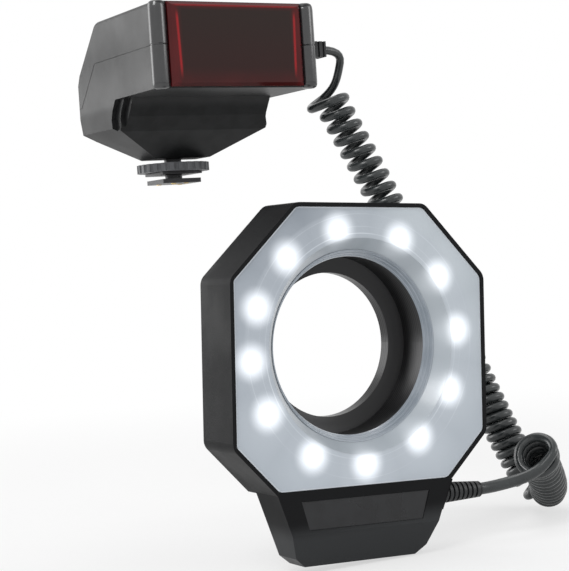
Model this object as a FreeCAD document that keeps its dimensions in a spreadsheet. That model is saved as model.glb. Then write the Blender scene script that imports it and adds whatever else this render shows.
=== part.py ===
"""Macro ring light: a control unit for a hot shoe, a curly cord and an octagonal ring head.

Frame: X to the right of someone facing the light, Y away from them, Z up. The origin is the middle of the
underside of the shoe foot. The ring head's own pieces are drawn about the lens axis, front face at Y = 0.
"""
import FreeCAD, Part
import math
import os
import re

import Sketcher
from FreeCAD import Placement, Rotation, Vector

SIZES = {
    # Control unit: head over a narrower neck, seen from the side
    "half_width": 37.3, "wall": 1.8, "unit_front": 64.3, "unit_rear": 13.0, "unit_top": 70.0,
    "parting": 52.5, "head_floor": 35.0, "unit_base": 10.8, "slope_top": 10.0, "slope_foot": 49.2,
    "rear_bevel": 2.2, "rear_corner": 45.0, "parting_turn": 6.0, "wrap_low": 35.0, "wrap_inset": 2.5,
    "tail_rise": 30.0, "tail_knee": 20.0, "tail_tuck": 3.0, "tail_base": 4.0,
    "neck_top": 33.0, "neck_bend": 28.0, "neck_bend_rise": 27.6, "neck_mid": 23.0, "neck_mid_rise": 21.7,
    "neck_low": 12.5, "neck_low_rise": 12.6, "neck_end": 10.5,
    "side_bevel_rise": 23.2, "base_half_width": 13.3,
    "grip_step": 2.1, "grip_edge": 24.5, "grip_bulge": 4.8, "grip_shift": 4.5,
    "top_round": 2.4, "pillar_radius": 3.2, "pillar_inset": 3.0, "pillar_proud": 0.7, "pillar_dome": 1.2,
    # Front window and focus lamps
    "window_half_width": 30.8, "window_thick": 2.5, "window_bevel": 1.3, "window_hole_side": 4.0,
    "lamp_radius": 5.0, "lamp_length": 4.2, "lamp_spacing": 26.0, "lamp_board_thick": 1.6,
    "lamp_board_half": 24.0, "lamp_board_tall": 20.0,
    # Power
    "cell_radius": 7.1, "cell_length": 49.2, "cell_nub": 1.3, "nub_radius": 2.7, "cell_pitch": 14.5,
    "bay_middle": 29.2, "holder_wall": 0.9, "holder_left": 20.6, "holder_right": 33.4, "contact_thick": 0.4,
    "door_gap": 0.3, "hinge_radius": 0.8, "knuckle_radius": 1.5,
    "hinge_setback": 1.5, "door_grip": 0.8, "pin_hold": 2.0, "pin_end": 0.2, "contact_gap": 0.3,
    # Control panel on the rear slope
    "panel_half_width": 30.0, "panel_half_tall": 11.0, "panel_thick": 1.2, "panel_gap": 0.15,
    "button_radius": 3.4, "button_proud": 1.0, "button_travel": 0.8, "button_flange": 0.9, "button_gap": 0.3,
    "test_place": 22.0, "mode_place": 10.0, "level_place": 2.0, "switch_place": 19.0,
    "switch_slot_half": 6.0, "switch_half": 3.8, "switch_travel": 4.0, "switch_tall": 5.0, "switch_proud": 1.8,
    "pilot_radius": 1.2, "pilot_pitch": 5.0, "pilot_row": 7.6, "pilot_proud": 0.3, "panel_board_depth": 4.4,
    # Boards
    "board_thick": 1.6, "capacitor_radius": 4.2, "capacitor_length": 20.0, "board_place": 24.4,
    # Shoe foot
    "foot_width": 18.6, "foot_length": 18.0, "foot_thick": 1.9, "foot_corner": 1.2, "stem_radius": 3.8,
    "stem_flange": 8.4, "flange_thick": 2.0, "rail_gap": 2.0, "plate_thick": 1.1, "plate_side": 19.4,
    "wheel_radius": 16.0, "wheel_thick": 3.6, "wheel_gap": 0.2, "notch_radius": 1.1,
    "notch_count": 26, "thread_gap": 0.08, "pin_radius": 1.1, "pin_ring": 5.2, "pin_proud": 0.3,
    # Ring head
    "front_reach": 146.0, "axis_drop": 69.5, "head_turn": 3.0,
    "ring_half_width": 55.4, "ring_half_tall": 52.6, "top_bevel": 27.2, "bottom_bevel": 18.0,
    "ring_depth": 24.0, "ring_parting": 12.0, "ring_wall": 1.5, "ring_corner": 5.0, "ring_back": 2.0,
    "chin_top": 38.2, "chin_low_half": 28.6, "chin_round": 3.4, "chin_base_half": 24.2, "chin_base": 79.4,
    "chin_depth": 16.0, "chin_crease": 67.0, "chin_slant": 5.0,
    "plate_top_half": 28.0, "plate_low_half": 24.8, "plate_top": 55.0, "plate_low": 65.6, "plate_depth": 0.9,
    "plate_seam": 0.12, "plate_set": 0.3, "driver_place": 10.4, "driver_half": 22.0,
    "driver_low": 7.4, "driver_high": 6.4, "driver_hold": 5.0,
    "diffuser_thick": 1.8, "diffuser_set": 0.5, "diffuser_ledge": 1.2, "diffuser_seam": 0.12,
    "throat_step": 0.4, "throat_flare": 4.0, "throat_depth": 6.2, "lip_thick": 1.3,
    "barrel_radius": 35.3, "barrel_wall": 1.5, "led_edge": 4.7, "led_radius": 2.5, "led_tall": 1.6,
    "led_dome": 0.7, "board_front": 9.4, "tray_thick": 0.8, "tray_gap": 0.3, "tray_lip": 2.4, "post_radius": 2.2,
    "turn_gap": 0.1, "adapter_wall": 1.5, "adapter_front": 10.0, "flange_reach": 3.8,
    "adapter_flange": 2.0, "flange_gap": 0.3, "thread_radius": 29.0, "thread_length": 3.5, "thread_bore": 27.4,
    "groove_place": 17.6, "groove_wide": 2.6, "groove_deep": 0.9,
    "latch_half": 5.0, "latch_thick": 1.8, "latch_inset": 5.4, "latch_tab": 6.0,
    "latch_travel": 2.2, "latch_gap": 0.3, "tab_proud": 3.0,
    # Cord
    "cord_radius": 1.75, "tail_radius": 2.35, "curl_radius": 6.1, "loose_pitch": 6.2, "tight_pitch": 4.05,
    "relief_radius": 4.1, "relief_length": 18.0, "relief_root": 3.2, "relief_root_length": 8.0, "relief_tip": 3.1,
    "relief_groove": 0.7, "relief_ribs": 8, "relief_drop": 57.9, "relief_back": 8.5, "relief_gap": 0.1,
    "boss_reach": 39.0, "boss_half": 5.6, "boss_slant": 2.4,
    "gland_out": 9.4, "gland_half_tall": 3.3, "gland_half_deep": 3.5, "gland_back": 56.0, "gland_rise": 51.8,
    "gland_groove": 0.7, "gland_ribs": 4, "gland_flange": 1.2,
}

doc = FreeCAD.newDocument("RingLight")
sheet = doc.addObject("Spreadsheet::Sheet", "Sizes")
for row, (alias, number) in enumerate(SIZES.items(), 1):
    sheet.set("A%d" % row, alias)
    sheet.set("B%d" % row, str(number))
    sheet.setAlias("B%d" % row, alias)
doc.recompute()

SLOPE_Y = "(unit_rear - rear_bevel - slope_top) / 2"
SLOPE_Z = "(unit_top + slope_foot) / 2"
SLOPE_ANGLE = "-atan((unit_top - slope_foot) / (unit_rear - rear_bevel + slope_top)) / 1 deg"
HINGE_X = "half_width - hinge_setback"
HINGE_Z = "parting - cell_pitch - holder_wall + hinge_setback + door_gap"
CELL_END = "(-holder_left + holder_wall + contact_thick + cell_length + cell_nub)"
PILOT_X = "(%d - 1.5) * pilot_pitch - mode_place / 2"
RELIEF_BASE = ("boss_reach * cos(head_turn * 1 deg) - relief_drop * sin(head_turn * 1 deg)",
               "-front_reach + relief_back",
               "-axis_drop - boss_reach * sin(head_turn * 1 deg) - relief_drop * cos(head_turn * 1 deg)")

CHIN_LOW = "(chin_base - chin_round)"
TRAY_OUTER = "(min(ring_half_width; ring_half_tall) - ring_wall - diffuser_ledge - tray_gap)"
LED_CIRCLE = "(%s - led_edge)" % TRAY_OUTER
BARREL_OUTER = "(barrel_radius + barrel_wall)"
THROAT_RADIUS = "(barrel_radius + throat_step)"
RIM_RADIUS = "(%s + throat_flare)" % THROAT_RADIUS
ADAPTER_OUTER = "(barrel_radius - turn_gap)"
ADAPTER_LIP = "(%s - adapter_wall)" % ADAPTER_OUTER
FLANGE_RADIUS = "(%s + flange_reach)" % ADAPTER_OUTER
LATCH_TIP = "(%s - groove_deep + latch_gap)" % ADAPTER_OUTER
LATCH_END = "(ring_half_width - latch_inset)"
CORNER_SHARE = 0.586

PARTS = []


def size(alias):
    """A driving dimension, read from the sheet."""
    return float(sheet.get(alias))


def formula(text):
    """The same formula with each named size turned into its cell."""
    return re.sub(r"[a-z_]+", lambda word: "Sizes." + word.group(0) if word.group(0) in SIZES else word.group(0),
                  str(text))


def tie(item, prop, text):
    item.setExpression(prop, formula(text))


def place(item, base=("0", "0", "0"), axis=None, angle="0"):
    """Bind an object's place to the sheet, and its turn about a fixed axis."""
    if axis:
        item.Placement = Placement(Vector(), Rotation(Vector(*axis), 1))
        tie(item, "Placement.Rotation.Angle", "(%s) * 1 deg" % angle)
    for letter, text in zip("xyz", base):
        tie(item, "Placement.Base." + letter, text)


def new_body(label, base=("0", "0", "0"), axis=None, angle="0"):
    item = doc.addObject("PartDesign::Body", label)
    item.Label = label
    item.AllowCompound = True
    place(item, base, axis, angle)
    PARTS.append(item)
    return item


def ring_body(label):
    """A body in the ring head's own frame, which hangs on the lens axis and is turned a little on it."""
    return new_body(label, ("0", "-front_reach", "-axis_drop"), (0, 1, 0), "head_turn")


def panel_body(label):
    """A body on the rear slope: local Y runs down the slope, local Z stands out of it."""
    return new_body(label, ("0", SLOPE_Y, SLOPE_Z), (1, 0, 0), SLOPE_ANGLE)


def sketch_on(item, plane, lift="0"):
    face = next(side for side in item.Origin.OriginFeatures if side.Role == plane)
    drawn = item.newObject("Sketcher::SketchObject", item.Name + "Sketch")
    drawn.AttachmentSupport = [(face, "")]
    drawn.MapMode = "FlatFace"
    if lift != "0":
        tie(drawn, "AttachmentOffset.Base.z", lift)
    return drawn


def pin_point(drawn, line, end, x, y):
    """Hold one end of a line at a place given by two formulas."""
    for kind, text in (("DistanceX", x), ("DistanceY", y)):
        number = drawn.addConstraint(Sketcher.Constraint(kind, -1, 1, line, end, 1.0))
        tie(drawn, "Constraints[%d]" % number, text)


def outline(drawn, corners):
    """A closed outline of straight edges through corners given by formulas."""
    first = drawn.GeometryCount
    count = len(corners)
    turns = [2 * math.pi * i / count for i in range(count)]
    rough = [Vector(math.cos(turn), math.sin(turn), 0) for turn in turns]
    for i in range(count):
        drawn.addGeometry(Part.LineSegment(rough[i], rough[(i + 1) % count]), False)
    for i in range(count):
        drawn.addConstraint(Sketcher.Constraint("Coincident", first + i, 2, first + (i + 1) % count, 1))
    for i, (x, y) in enumerate(corners):
        pin_point(drawn, first + i, 1, x, y)


def rectangle(drawn, left, low, right, high):
    outline(drawn, [(left, low), (right, low), (right, high), (left, high)])


def ring_hole(drawn, x, y, radius):
    number = drawn.addGeometry(Part.Circle(Vector(0, 0, 0), Vector(0, 0, 1), 1), False)
    pin_point(drawn, number, 3, x, y)
    held = drawn.addConstraint(Sketcher.Constraint("Radius", number, 1.0))
    tie(drawn, "Constraints[%d]" % held, radius)


def pad(item, drawn, length, reverse=False, middle=False, kind="Pad"):
    """Raise, or with kind Pocket sink, a sketch by a length given as a formula."""
    feature = item.newObject("PartDesign::" + kind, item.Name + kind)
    feature.Profile = drawn
    feature.Reversed = reverse
    feature.Midplane = middle
    if length == "through":
        feature.Type = 1
    else:
        tie(feature, "Length", length)
    drawn.Visibility = False
    return feature


def cut(item, drawn, length, reverse=False, middle=False):
    """Sink a sketch, and make sure that it took something away."""
    doc.recompute()
    before = item.Shape.Volume
    feature = pad(item, drawn, length, reverse, middle, "Pocket")
    doc.recompute()
    if item.Shape.Volume > before - 1e-6:
        raise ValueError("%s: %s cuts nothing" % (item.Label, feature.Name))
    return feature


def spin(item, drawn, kind="Revolution"):
    """Turn a sketch round its own upright axis."""
    feature = item.newObject("PartDesign::" + kind, item.Name + kind)
    feature.Profile = drawn
    feature.ReferenceAxis = (drawn, ["V_Axis"])
    feature.Angle = 360
    return feature


def repeat_round(item, features, axis, count, angle="360"):
    """Repeat features round one of the body's own axes."""
    line = next(side for side in item.Origin.OriginFeatures if side.Role == axis)
    pattern = item.newObject("PartDesign::PolarPattern", item.Name + "Ring")
    pattern.Originals = features
    pattern.Axis = (line, [""])
    tie(pattern, "Angle", angle)
    tie(pattern, "Occurrences", count)
    item.Tip = pattern
    return pattern


def soften(item, radius, chosen, kind="Fillet", prop="Radius"):
    """Round, or with kind Chamfer bevel, the edges whose middle point passes the test."""
    doc.recompute()
    base = item.Tip
    names = []
    for number, edge in enumerate(base.Shape.Edges, 1):
        middle = edge.valueAt((edge.FirstParameter + edge.LastParameter) / 2)
        if chosen(middle, edge.valueAt(edge.LastParameter) - edge.valueAt(edge.FirstParameter)):
            names.append("Edge%d" % number)
    if not names:
        raise ValueError("%s: no edge to soften" % item.Label)
    feature = item.newObject("PartDesign::" + kind, item.Name + kind)
    feature.Base = (base, names)
    tie(feature, prop, radius)
    return feature


def along(direction, axis):
    """True if an edge runs along a coordinate axis."""
    length = direction.Length
    return length > 1e-6 and abs(direction.dot(Vector(*axis))) > 0.999 * length


def lies(value, target, slack=0.05):
    return abs(value - target) < slack


# Control unit shells

def unit_outer_upper():
    return [("-unit_front", "parting"), ("-unit_front", "unit_top"), ("-slope_top", "unit_top"),
            ("unit_rear - rear_bevel", "slope_foot"), ("unit_rear", "rear_corner"), ("unit_rear", "wrap_low"),
            ("unit_rear - wrap_inset", "wrap_low"), ("-parting_turn", "parting")]


def unit_outer_lower():
    return [("-unit_front", "head_floor"), ("-neck_top", "head_floor"), ("-neck_bend", "neck_bend_rise"),
            ("-neck_mid", "neck_mid_rise"), ("-neck_low", "neck_low_rise"), ("-neck_end", "unit_base"),
            ("tail_base", "unit_base"), ("unit_rear - tail_tuck", "tail_knee"), ("unit_rear", "tail_rise"),
            ("unit_rear", "wrap_low"), ("unit_rear - wrap_inset", "wrap_low"), ("-parting_turn", "parting"),
            ("-unit_front", "parting")]


PILLAR_X = "half_width - pillar_inset"
PILLAR_Y = "-unit_front + pillar_proud"
INNER_WIDTH = "2 * (half_width - wall)"


def front_pillars(item, low, high):
    """The round posts down the front corners of the head."""
    drawn = sketch_on(item, "XY_Plane", low)
    ring_hole(drawn, PILLAR_X, PILLAR_Y, "pillar_radius")
    post = pad(item, drawn, "(%s) - (%s)" % (high, low))
    drawn = sketch_on(item, "XY_Plane", low)
    ring_hole(drawn, "-(%s)" % PILLAR_X, PILLAR_Y, "pillar_radius")
    pad(item, drawn, "(%s) - (%s)" % (high, low))
    return post


def window_hole(item, low, high):
    drawn = sketch_on(item, "XZ_Plane", "unit_front - wall - 1")
    rectangle(drawn, "-window_half_width + window_hole_side", low, "window_half_width - window_hole_side", high)
    cut(item, drawn, "wall + 2", reverse=True)


def door_hole(item):
    """The right side's opening into the battery bay, and the step that the door closes on."""
    half = "cell_pitch + holder_wall"
    drawn = sketch_on(item, "YZ_Plane", "half_width - wall - 1")
    rectangle(drawn, "-bay_middle - (%s)" % half, "parting - (%s)" % half,
              "-bay_middle + (%s)" % half, "parting + (%s)" % half)
    cut(item, drawn, "wall + 2", reverse=True)


def hinge_seat(item):
    """The groove in the side wall that holds the ends of the door's hinge pin."""
    half = "cell_pitch + holder_wall + pin_hold"
    drawn = sketch_on(item, "XZ_Plane", "bay_middle - (%s)" % half)
    ring_hole(drawn, HINGE_X, HINGE_Z, "hinge_radius + thread_gap")
    cut(item, drawn, "2 * (%s)" % half, reverse=True)


def gland_hole(item):
    """Half of the slot that grips the cord's gland."""
    drawn = sketch_on(item, "YZ_Plane", "half_width - wall - 1")
    rectangle(drawn, "-gland_back - gland_half_deep", "gland_rise - gland_half_tall",
              "-gland_back + gland_half_deep", "gland_rise + gland_half_tall")
    cut(item, drawn, "wall + 2", reverse=True)


def make_upper_shell():
    item = new_body("unit_upper_shell")
    drawn = sketch_on(item, "YZ_Plane")
    outline(drawn, unit_outer_upper())
    pad(item, drawn, "2 * half_width", middle=True)
    top = size("unit_top")
    soften(item, "top_round", lambda at, way: lies(at.z, top) and lies(abs(at.x), size("half_width")))
    front_pillars(item, "parting", "unit_top")
    drawn = sketch_on(item, "YZ_Plane")
    inner_front = "-unit_front + wall"
    outline(drawn, [(inner_front, "parting - 3"), (inner_front, "unit_top - wall"),
                    ("-slope_top - wall / 2", "unit_top - wall"),
                    ("unit_rear - rear_bevel - wall * 1.4", "slope_foot - wall / 2"),
                    ("unit_rear - wall", "rear_corner - wall / 2"), ("unit_rear - wall", "wrap_low - 2"),
                    ("unit_rear - wrap_inset * 2", "wrap_low - 2"), ("-parting_turn - 2", "parting - 3")])
    cut(item, drawn, INNER_WIDTH, middle=True)
    window_hole(item, "parting - 1", "unit_top - window_hole_side")
    corner = -size("unit_front") + size("pillar_proud") - size("pillar_radius")
    soften(item, "pillar_dome", lambda at, way: lies(at.z, top) and lies(at.y, corner, 1.2))
    door_hole(item)
    gland_hole(item)
    return item


def make_lower_shell():
    item = new_body("unit_lower_shell")
    drawn = sketch_on(item, "YZ_Plane")
    outline(drawn, unit_outer_lower())
    pad(item, drawn, "2 * half_width", middle=True)
    for side in (1, -1):
        drawn = sketch_on(item, "XZ_Plane")
        sign = "" if side > 0 else "-"
        outside, foot = sign + "(half_width + 2)", sign + "base_half_width"
        outline(drawn, [(outside, "side_bevel_rise + 1.03"), (foot, "unit_base"), (foot, "unit_base - 2"),
                        (outside, "unit_base - 2")])
        cut(item, drawn, "4 * unit_front", middle=True)
    for step in (1, 2):
        shift = "grip_shift * %d" % (step - 1)
        for side in (1, -1):
            drawn = sketch_on(item, "YZ_Plane", "%d * (half_width - grip_step * %d)" % (side, step))
            grip_outline(drawn, shift)
            cut(item, drawn, "grip_step * %d + 1" % step, reverse=side > 0)
    front_pillars(item, "head_floor + 0.8", "parting")
    drawn = sketch_on(item, "YZ_Plane")
    inner_front = "-unit_front + wall"
    outline(drawn, [(inner_front, "parting + 3"), (inner_front, "head_floor + wall"),
                    ("unit_rear - wall", "head_floor + wall"), ("unit_rear - wall", "parting + 3")])
    cut(item, drawn, INNER_WIDTH, middle=True)
    drawn = sketch_on(item, "YZ_Plane")
    top = "head_floor + wall + 1"
    outline(drawn, [("-neck_bend + wall", "neck_bend_rise"), ("-neck_mid + wall", "side_bevel_rise"),
                    ("unit_rear - wall - 1", "side_bevel_rise"), ("unit_rear - wall", "tail_rise"),
                    ("unit_rear - wall", top), ("-neck_bend + wall", top)])
    cut(item, drawn, "2 * (half_width - 2 * grip_step - wall)", middle=True)
    drawn = sketch_on(item, "YZ_Plane")
    rectangle(drawn, "-neck_low + wall * 2", "unit_base + wall", "tail_base - wall", "side_bevel_rise + 1")
    cut(item, drawn, "2 * base_half_width - 2 * wall", middle=True)
    drawn = sketch_on(item, "XY_Plane", "unit_base - 1")
    ring_hole(drawn, "0", "0", "stem_radius + thread_gap")
    cut(item, drawn, "wall + 2", reverse=True)
    window_hole(item, "head_floor + window_hole_side", "parting + 1")
    door_hole(item)
    hinge_seat(item)
    gland_hole(item)
    return item


def grip_outline(drawn, shift):
    """The stepped finger grip's curved edge, seen from the side, and the space in front of it."""
    edge = "-grip_edge - (%s)" % shift
    curve = [(edge + " + grip_bulge * %s" % share, "head_floor - %s" % drop)
             for share, drop in ((0.7, 4.5), (1.0, 8), (0.9, 12), (0.5, 16), (-0.6, 20))]
    outline(drawn, [("-unit_front", "head_floor"), (edge, "head_floor"), *curve,
                    (edge + " - grip_bulge * 1.3", "unit_base - 2"), ("-unit_front", "unit_base - 2")])


# Front window and focus lamps

def make_window():
    item = new_body("front_window")
    drawn = sketch_on(item, "XZ_Plane", "unit_front")
    rectangle(drawn, "-window_half_width", "head_floor + 0.6", "window_half_width", "unit_top - 0.4")
    pad(item, drawn, "window_thick")
    front = -size("unit_front") - size("window_thick")
    soften(item, "window_bevel", lambda at, way: lies(at.y, front), "Chamfer", "Size")
    return item


def make_lamp_board():
    item = new_body("lamp_board")
    drawn = sketch_on(item, "XZ_Plane", "unit_front - wall - lamp_length - lamp_board_thick")
    rectangle(drawn, "-lamp_board_half", "head_floor + wall", "lamp_board_half", "parting + lamp_board_tall / 2")
    pad(item, drawn, "lamp_board_thick")
    return item


def make_focus_lamp(label, side):
    item = new_body(label, ("%d * lamp_spacing / 2" % side, "-unit_front + wall + lamp_length", "parting"),
                    (1, 0, 0), "90")
    drawn = sketch_on(item, "XZ_Plane")
    outline(drawn, [("0", "0"), ("lamp_radius", "0"), ("lamp_radius", "lamp_length * 0.6"),
                    ("lamp_radius * 0.8", "lamp_length * 0.85"), ("lamp_radius * 0.4", "lamp_length"),
                    ("0", "lamp_length")])
    spin(item, drawn)
    return item


# Battery bay

def make_holder():
    item = new_body("battery_holder")
    half = "cell_pitch + holder_wall"
    drawn = sketch_on(item, "YZ_Plane", "-holder_left")
    rectangle(drawn, "-bay_middle - (%s)" % half, "parting - (%s)" % half,
              "-bay_middle + (%s)" % half, "parting + (%s)" % half)
    pad(item, drawn, "holder_left + holder_right")
    drawn = sketch_on(item, "YZ_Plane", "-holder_left + holder_wall")
    rectangle(drawn, "-bay_middle - cell_pitch", "parting - cell_pitch", "-bay_middle + cell_pitch",
              "parting + cell_pitch")
    cut(item, drawn, "holder_left + holder_right", reverse=True)
    return item


def make_cell(number, across, up):
    item = new_body("battery_cell_%d" % number,
                    ("-holder_left + holder_wall + contact_thick", "-bay_middle + %d * cell_pitch / 2" % across,
                     "parting + %d * cell_pitch / 2" % up), (0, 1, 0), "90")
    drawn = sketch_on(item, "XZ_Plane")
    outline(drawn, [("0", "0"), ("cell_radius", "0"), ("cell_radius", "cell_length"),
                    ("nub_radius", "cell_length"), ("nub_radius", "cell_length + cell_nub"),
                    ("0", "cell_length + cell_nub")])
    spin(item, drawn)
    return item


def make_bay_contacts():
    item = new_body("bay_contacts")
    for up in (-1, 1):
        drawn = sketch_on(item, "YZ_Plane", "-holder_left + holder_wall")
        rise = "parting + %d * cell_pitch / 2" % up
        ring_hole(drawn, "-bay_middle - cell_pitch / 2", rise, "cell_radius * 0.7")
        pad(item, drawn, "contact_thick")
    return item


def make_door():
    """The battery door: a plate flush in its opening, with a hinge barrel along its lower edge."""
    item = new_body("battery_door")
    half = "cell_pitch + holder_wall - door_gap"
    drawn = sketch_on(item, "YZ_Plane", "half_width - wall")
    rectangle(drawn, "-bay_middle - (%s)" % half, HINGE_Z, "-bay_middle + (%s)" % half, "parting + (%s)" % half)
    pad(item, drawn, "wall")
    drawn = sketch_on(item, "XZ_Plane", "bay_middle - (%s)" % half)
    ring_hole(drawn, HINGE_X, HINGE_Z, "knuckle_radius")
    pad(item, drawn, "2 * (%s)" % half)
    drawn = sketch_on(item, "XZ_Plane", "bay_middle - (%s) - 1" % half)
    ring_hole(drawn, HINGE_X, HINGE_Z, "hinge_radius")
    cut(item, drawn, "2 * (%s) + 2" % half, reverse=True)
    for rib in (0, 1, 2):
        drawn = sketch_on(item, "YZ_Plane", "half_width - door_grip")
        rise = "parting + cell_pitch - 3.5 - %d * 2.4" % rib
        rectangle(drawn, "-bay_middle - 7", rise, "-bay_middle + 7", rise + " + 1.1")
        cut(item, drawn, "2", reverse=True)
    return item


def make_hinge_pin():
    item = new_body("door_hinge_pin")
    half = "cell_pitch + holder_wall"
    drawn = sketch_on(item, "XZ_Plane", "bay_middle - (%s) - pin_hold + pin_end" % half)
    ring_hole(drawn, HINGE_X, HINGE_Z, "hinge_radius")
    pad(item, drawn, "2 * (%s) + 2 * pin_hold - 2 * pin_end" % half)
    return item


def make_door_contacts():
    item = new_body("door_contacts")
    drawn = sketch_on(item, "YZ_Plane", "half_width - wall - contact_thick")
    rectangle(drawn, "-bay_middle - cell_pitch + 1", "parting - cell_pitch + 4", "-bay_middle + cell_pitch - 1",
              "parting + cell_pitch - 1")
    pad(item, drawn, "contact_thick")
    for across in (-1, 1):
        for up in (-1, 1):
            drawn = sketch_on(item, "YZ_Plane", CELL_END + " + contact_gap")
            ring_hole(drawn, "-bay_middle + %d * cell_pitch / 2" % across, "parting + %d * cell_pitch / 2" % up,
                      "nub_radius")
            pad(item, drawn, "half_width - wall - contact_thick - (%s) - contact_gap" % CELL_END)
    return item


# Control panel on the rear slope

def slope_sketch(item):
    """A sketch in the shell's own body, laid on the rear slope."""
    drawn = sketch_on(item, "XY_Plane")
    drawn.AttachmentOffset = Placement(Vector(), Rotation(Vector(1, 0, 0), -45))
    tie(drawn, "AttachmentOffset.Rotation.Angle", "(%s) * 1 deg" % SLOPE_ANGLE)
    tie(drawn, "AttachmentOffset.Base.y", SLOPE_Y)
    tie(drawn, "AttachmentOffset.Base.z", SLOPE_Z)
    return drawn


def cut_panel_seat(item):
    drawn = slope_sketch(item)
    rectangle(drawn, "-panel_half_width - panel_gap", "-panel_half_tall - panel_gap",
              "panel_half_width + panel_gap", "panel_half_tall + panel_gap")
    cut(item, drawn, "panel_thick")
    drawn = slope_sketch(item)
    rectangle(drawn, "-panel_half_width + 2", "-panel_half_tall + 2",
              "panel_half_width - 2", "panel_half_tall - 2")
    cut(item, drawn, "wall + 3")


BUTTONS = {"test_button": "-test_place", "mode_button": "-mode_place", "level_button": "level_place"}


def make_panel():
    item = panel_body("control_panel")
    drawn = sketch_on(item, "XY_Plane", "-panel_thick")
    rectangle(drawn, "-panel_half_width", "-panel_half_tall", "panel_half_width", "panel_half_tall")
    pad(item, drawn, "panel_thick")
    for side in (-1, 1):
        drawn = sketch_on(item, "XY_Plane", "-panel_board_depth")
        ring_hole(drawn, "%d * (panel_half_width - 4)" % side, "-panel_half_tall + 4", "1.6")
        pad(item, drawn, "panel_board_depth - panel_thick")
    drawn = sketch_on(item, "XY_Plane")
    for across in BUTTONS.values():
        ring_hole(drawn, across, "0", "button_radius + button_gap")
    for number in range(4):
        ring_hole(drawn, PILOT_X % number, "pilot_row", "pilot_radius")
    rectangle(drawn, "switch_place - switch_slot_half", "-switch_tall / 2 - button_gap",
              "switch_place + switch_slot_half", "switch_tall / 2 + button_gap")
    cut(item, drawn, "panel_thick + 0.1")
    return item


def make_button(label, across):
    item = panel_body(label)
    drawn = sketch_on(item, "XY_Plane", "-panel_thick - button_gap - button_flange")
    ring_hole(drawn, across, "0", "button_radius + button_flange")
    pad(item, drawn, "button_flange")
    drawn = sketch_on(item, "XY_Plane", "-panel_thick - button_gap")
    ring_hole(drawn, across, "0", "button_radius")
    pad(item, drawn, "panel_thick + button_gap + button_proud")
    return item


def make_switch():
    """The power switch at its off end, with the flange that keeps it under the panel."""
    item = panel_body("power_switch")
    middle = "switch_place - switch_travel / 2"
    drawn = sketch_on(item, "XY_Plane", "-panel_thick - button_gap - button_flange")
    rectangle(drawn, middle + " - switch_half - 1", "-switch_tall / 2 - 1", middle + " + switch_half + 1",
              "switch_tall / 2 + 1")
    pad(item, drawn, "button_flange")
    drawn = sketch_on(item, "XY_Plane", "-panel_thick - button_gap")
    rectangle(drawn, middle + " - switch_half", "-switch_tall / 2", middle + " + switch_half", "switch_tall / 2")
    pad(item, drawn, "panel_thick + button_gap + switch_proud")
    for rib in (-1, 0, 1):
        drawn = sketch_on(item, "XY_Plane", "switch_proud - 0.7")
        rectangle(drawn, middle + " + %d * 2 - 0.5" % rib, "-switch_tall", middle + " + %d * 2 + 0.5" % rib,
                  "switch_tall")
        cut(item, drawn, "2", reverse=True)
    return item


def make_pilot_lamps():
    item = panel_body("pilot_lamps")
    drawn = sketch_on(item, "XY_Plane", "-panel_thick")
    for number in range(4):
        ring_hole(drawn, PILOT_X % number, "pilot_row", "pilot_radius")
    pad(item, drawn, "panel_thick + pilot_proud")
    return item


def make_panel_board():
    """The switch board behind the panel, with a dome switch under each button."""
    item = panel_body("panel_board")
    drawn = sketch_on(item, "XY_Plane", "-panel_board_depth - board_thick")
    rectangle(drawn, "-panel_half_width + 2.5", "-panel_half_tall + 2.5", "panel_half_width - 2.5",
              "panel_half_tall - 2.5")
    pad(item, drawn, "board_thick")
    drawn = sketch_on(item, "XY_Plane", "-panel_board_depth")
    for across in BUTTONS.values():
        ring_hole(drawn, across, "0", "button_radius / 2")
    pad(item, drawn, "panel_board_depth - panel_thick - button_gap - button_flange - button_travel - 0.1")
    return item


# Boards in the head

def make_main_board():
    item = new_body("main_board")
    drawn = sketch_on(item, "YZ_Plane", "-board_place - board_thick")
    rectangle(drawn, "-unit_front + wall + 9", "head_floor + wall", "-slope_top - 2", "unit_top - wall - 3")
    pad(item, drawn, "board_thick")
    return item


def make_capacitor():
    middle = "-board_place - board_thick - capacitor_radius"
    item = new_body("storage_capacitor", (middle, "-bay_middle", "parting"), (1, 0, 0), "90")
    drawn = sketch_on(item, "XY_Plane", "-capacitor_length / 2")
    ring_hole(drawn, "0", "0", "capacitor_radius")
    pad(item, drawn, "capacitor_length")
    return item


# Shoe foot and its clamp

def make_foot():
    item = new_body("shoe_foot")
    drawn = sketch_on(item, "XY_Plane")
    rectangle(drawn, "-foot_width / 2", "-foot_length / 2", "foot_width / 2", "foot_length / 2")
    pad(item, drawn, "foot_thick")
    corner = size("foot_width") / 2
    soften(item, "foot_corner", lambda at, way: along(way, (0, 0, 1)) and lies(abs(at.x), corner))
    drawn = sketch_on(item, "XY_Plane", "foot_thick")
    ring_hole(drawn, "0", "0", "stem_radius")
    pad(item, drawn, "unit_base + wall - foot_thick")
    drawn = sketch_on(item, "XY_Plane", "unit_base + wall")
    rectangle(drawn, "-stem_flange", "-stem_flange", "stem_flange", "tail_base - wall - 0.3")
    pad(item, drawn, "flange_thick")
    drawn = sketch_on(item, "XY_Plane")
    for across, forward in CONTACT_PLACES:
        ring_hole(drawn, across, forward, "pin_radius")
    cut(item, drawn, "foot_thick", reverse=True)
    return item


CONTACT_PLACES = [("0", "0"), ("pin_ring", "pin_ring * 0.9"), ("-pin_ring", "pin_ring * 0.9"),
                  ("pin_ring * 0.6", "-pin_ring * 1.1"), ("-pin_ring * 0.6", "-pin_ring * 1.1")]


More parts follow.
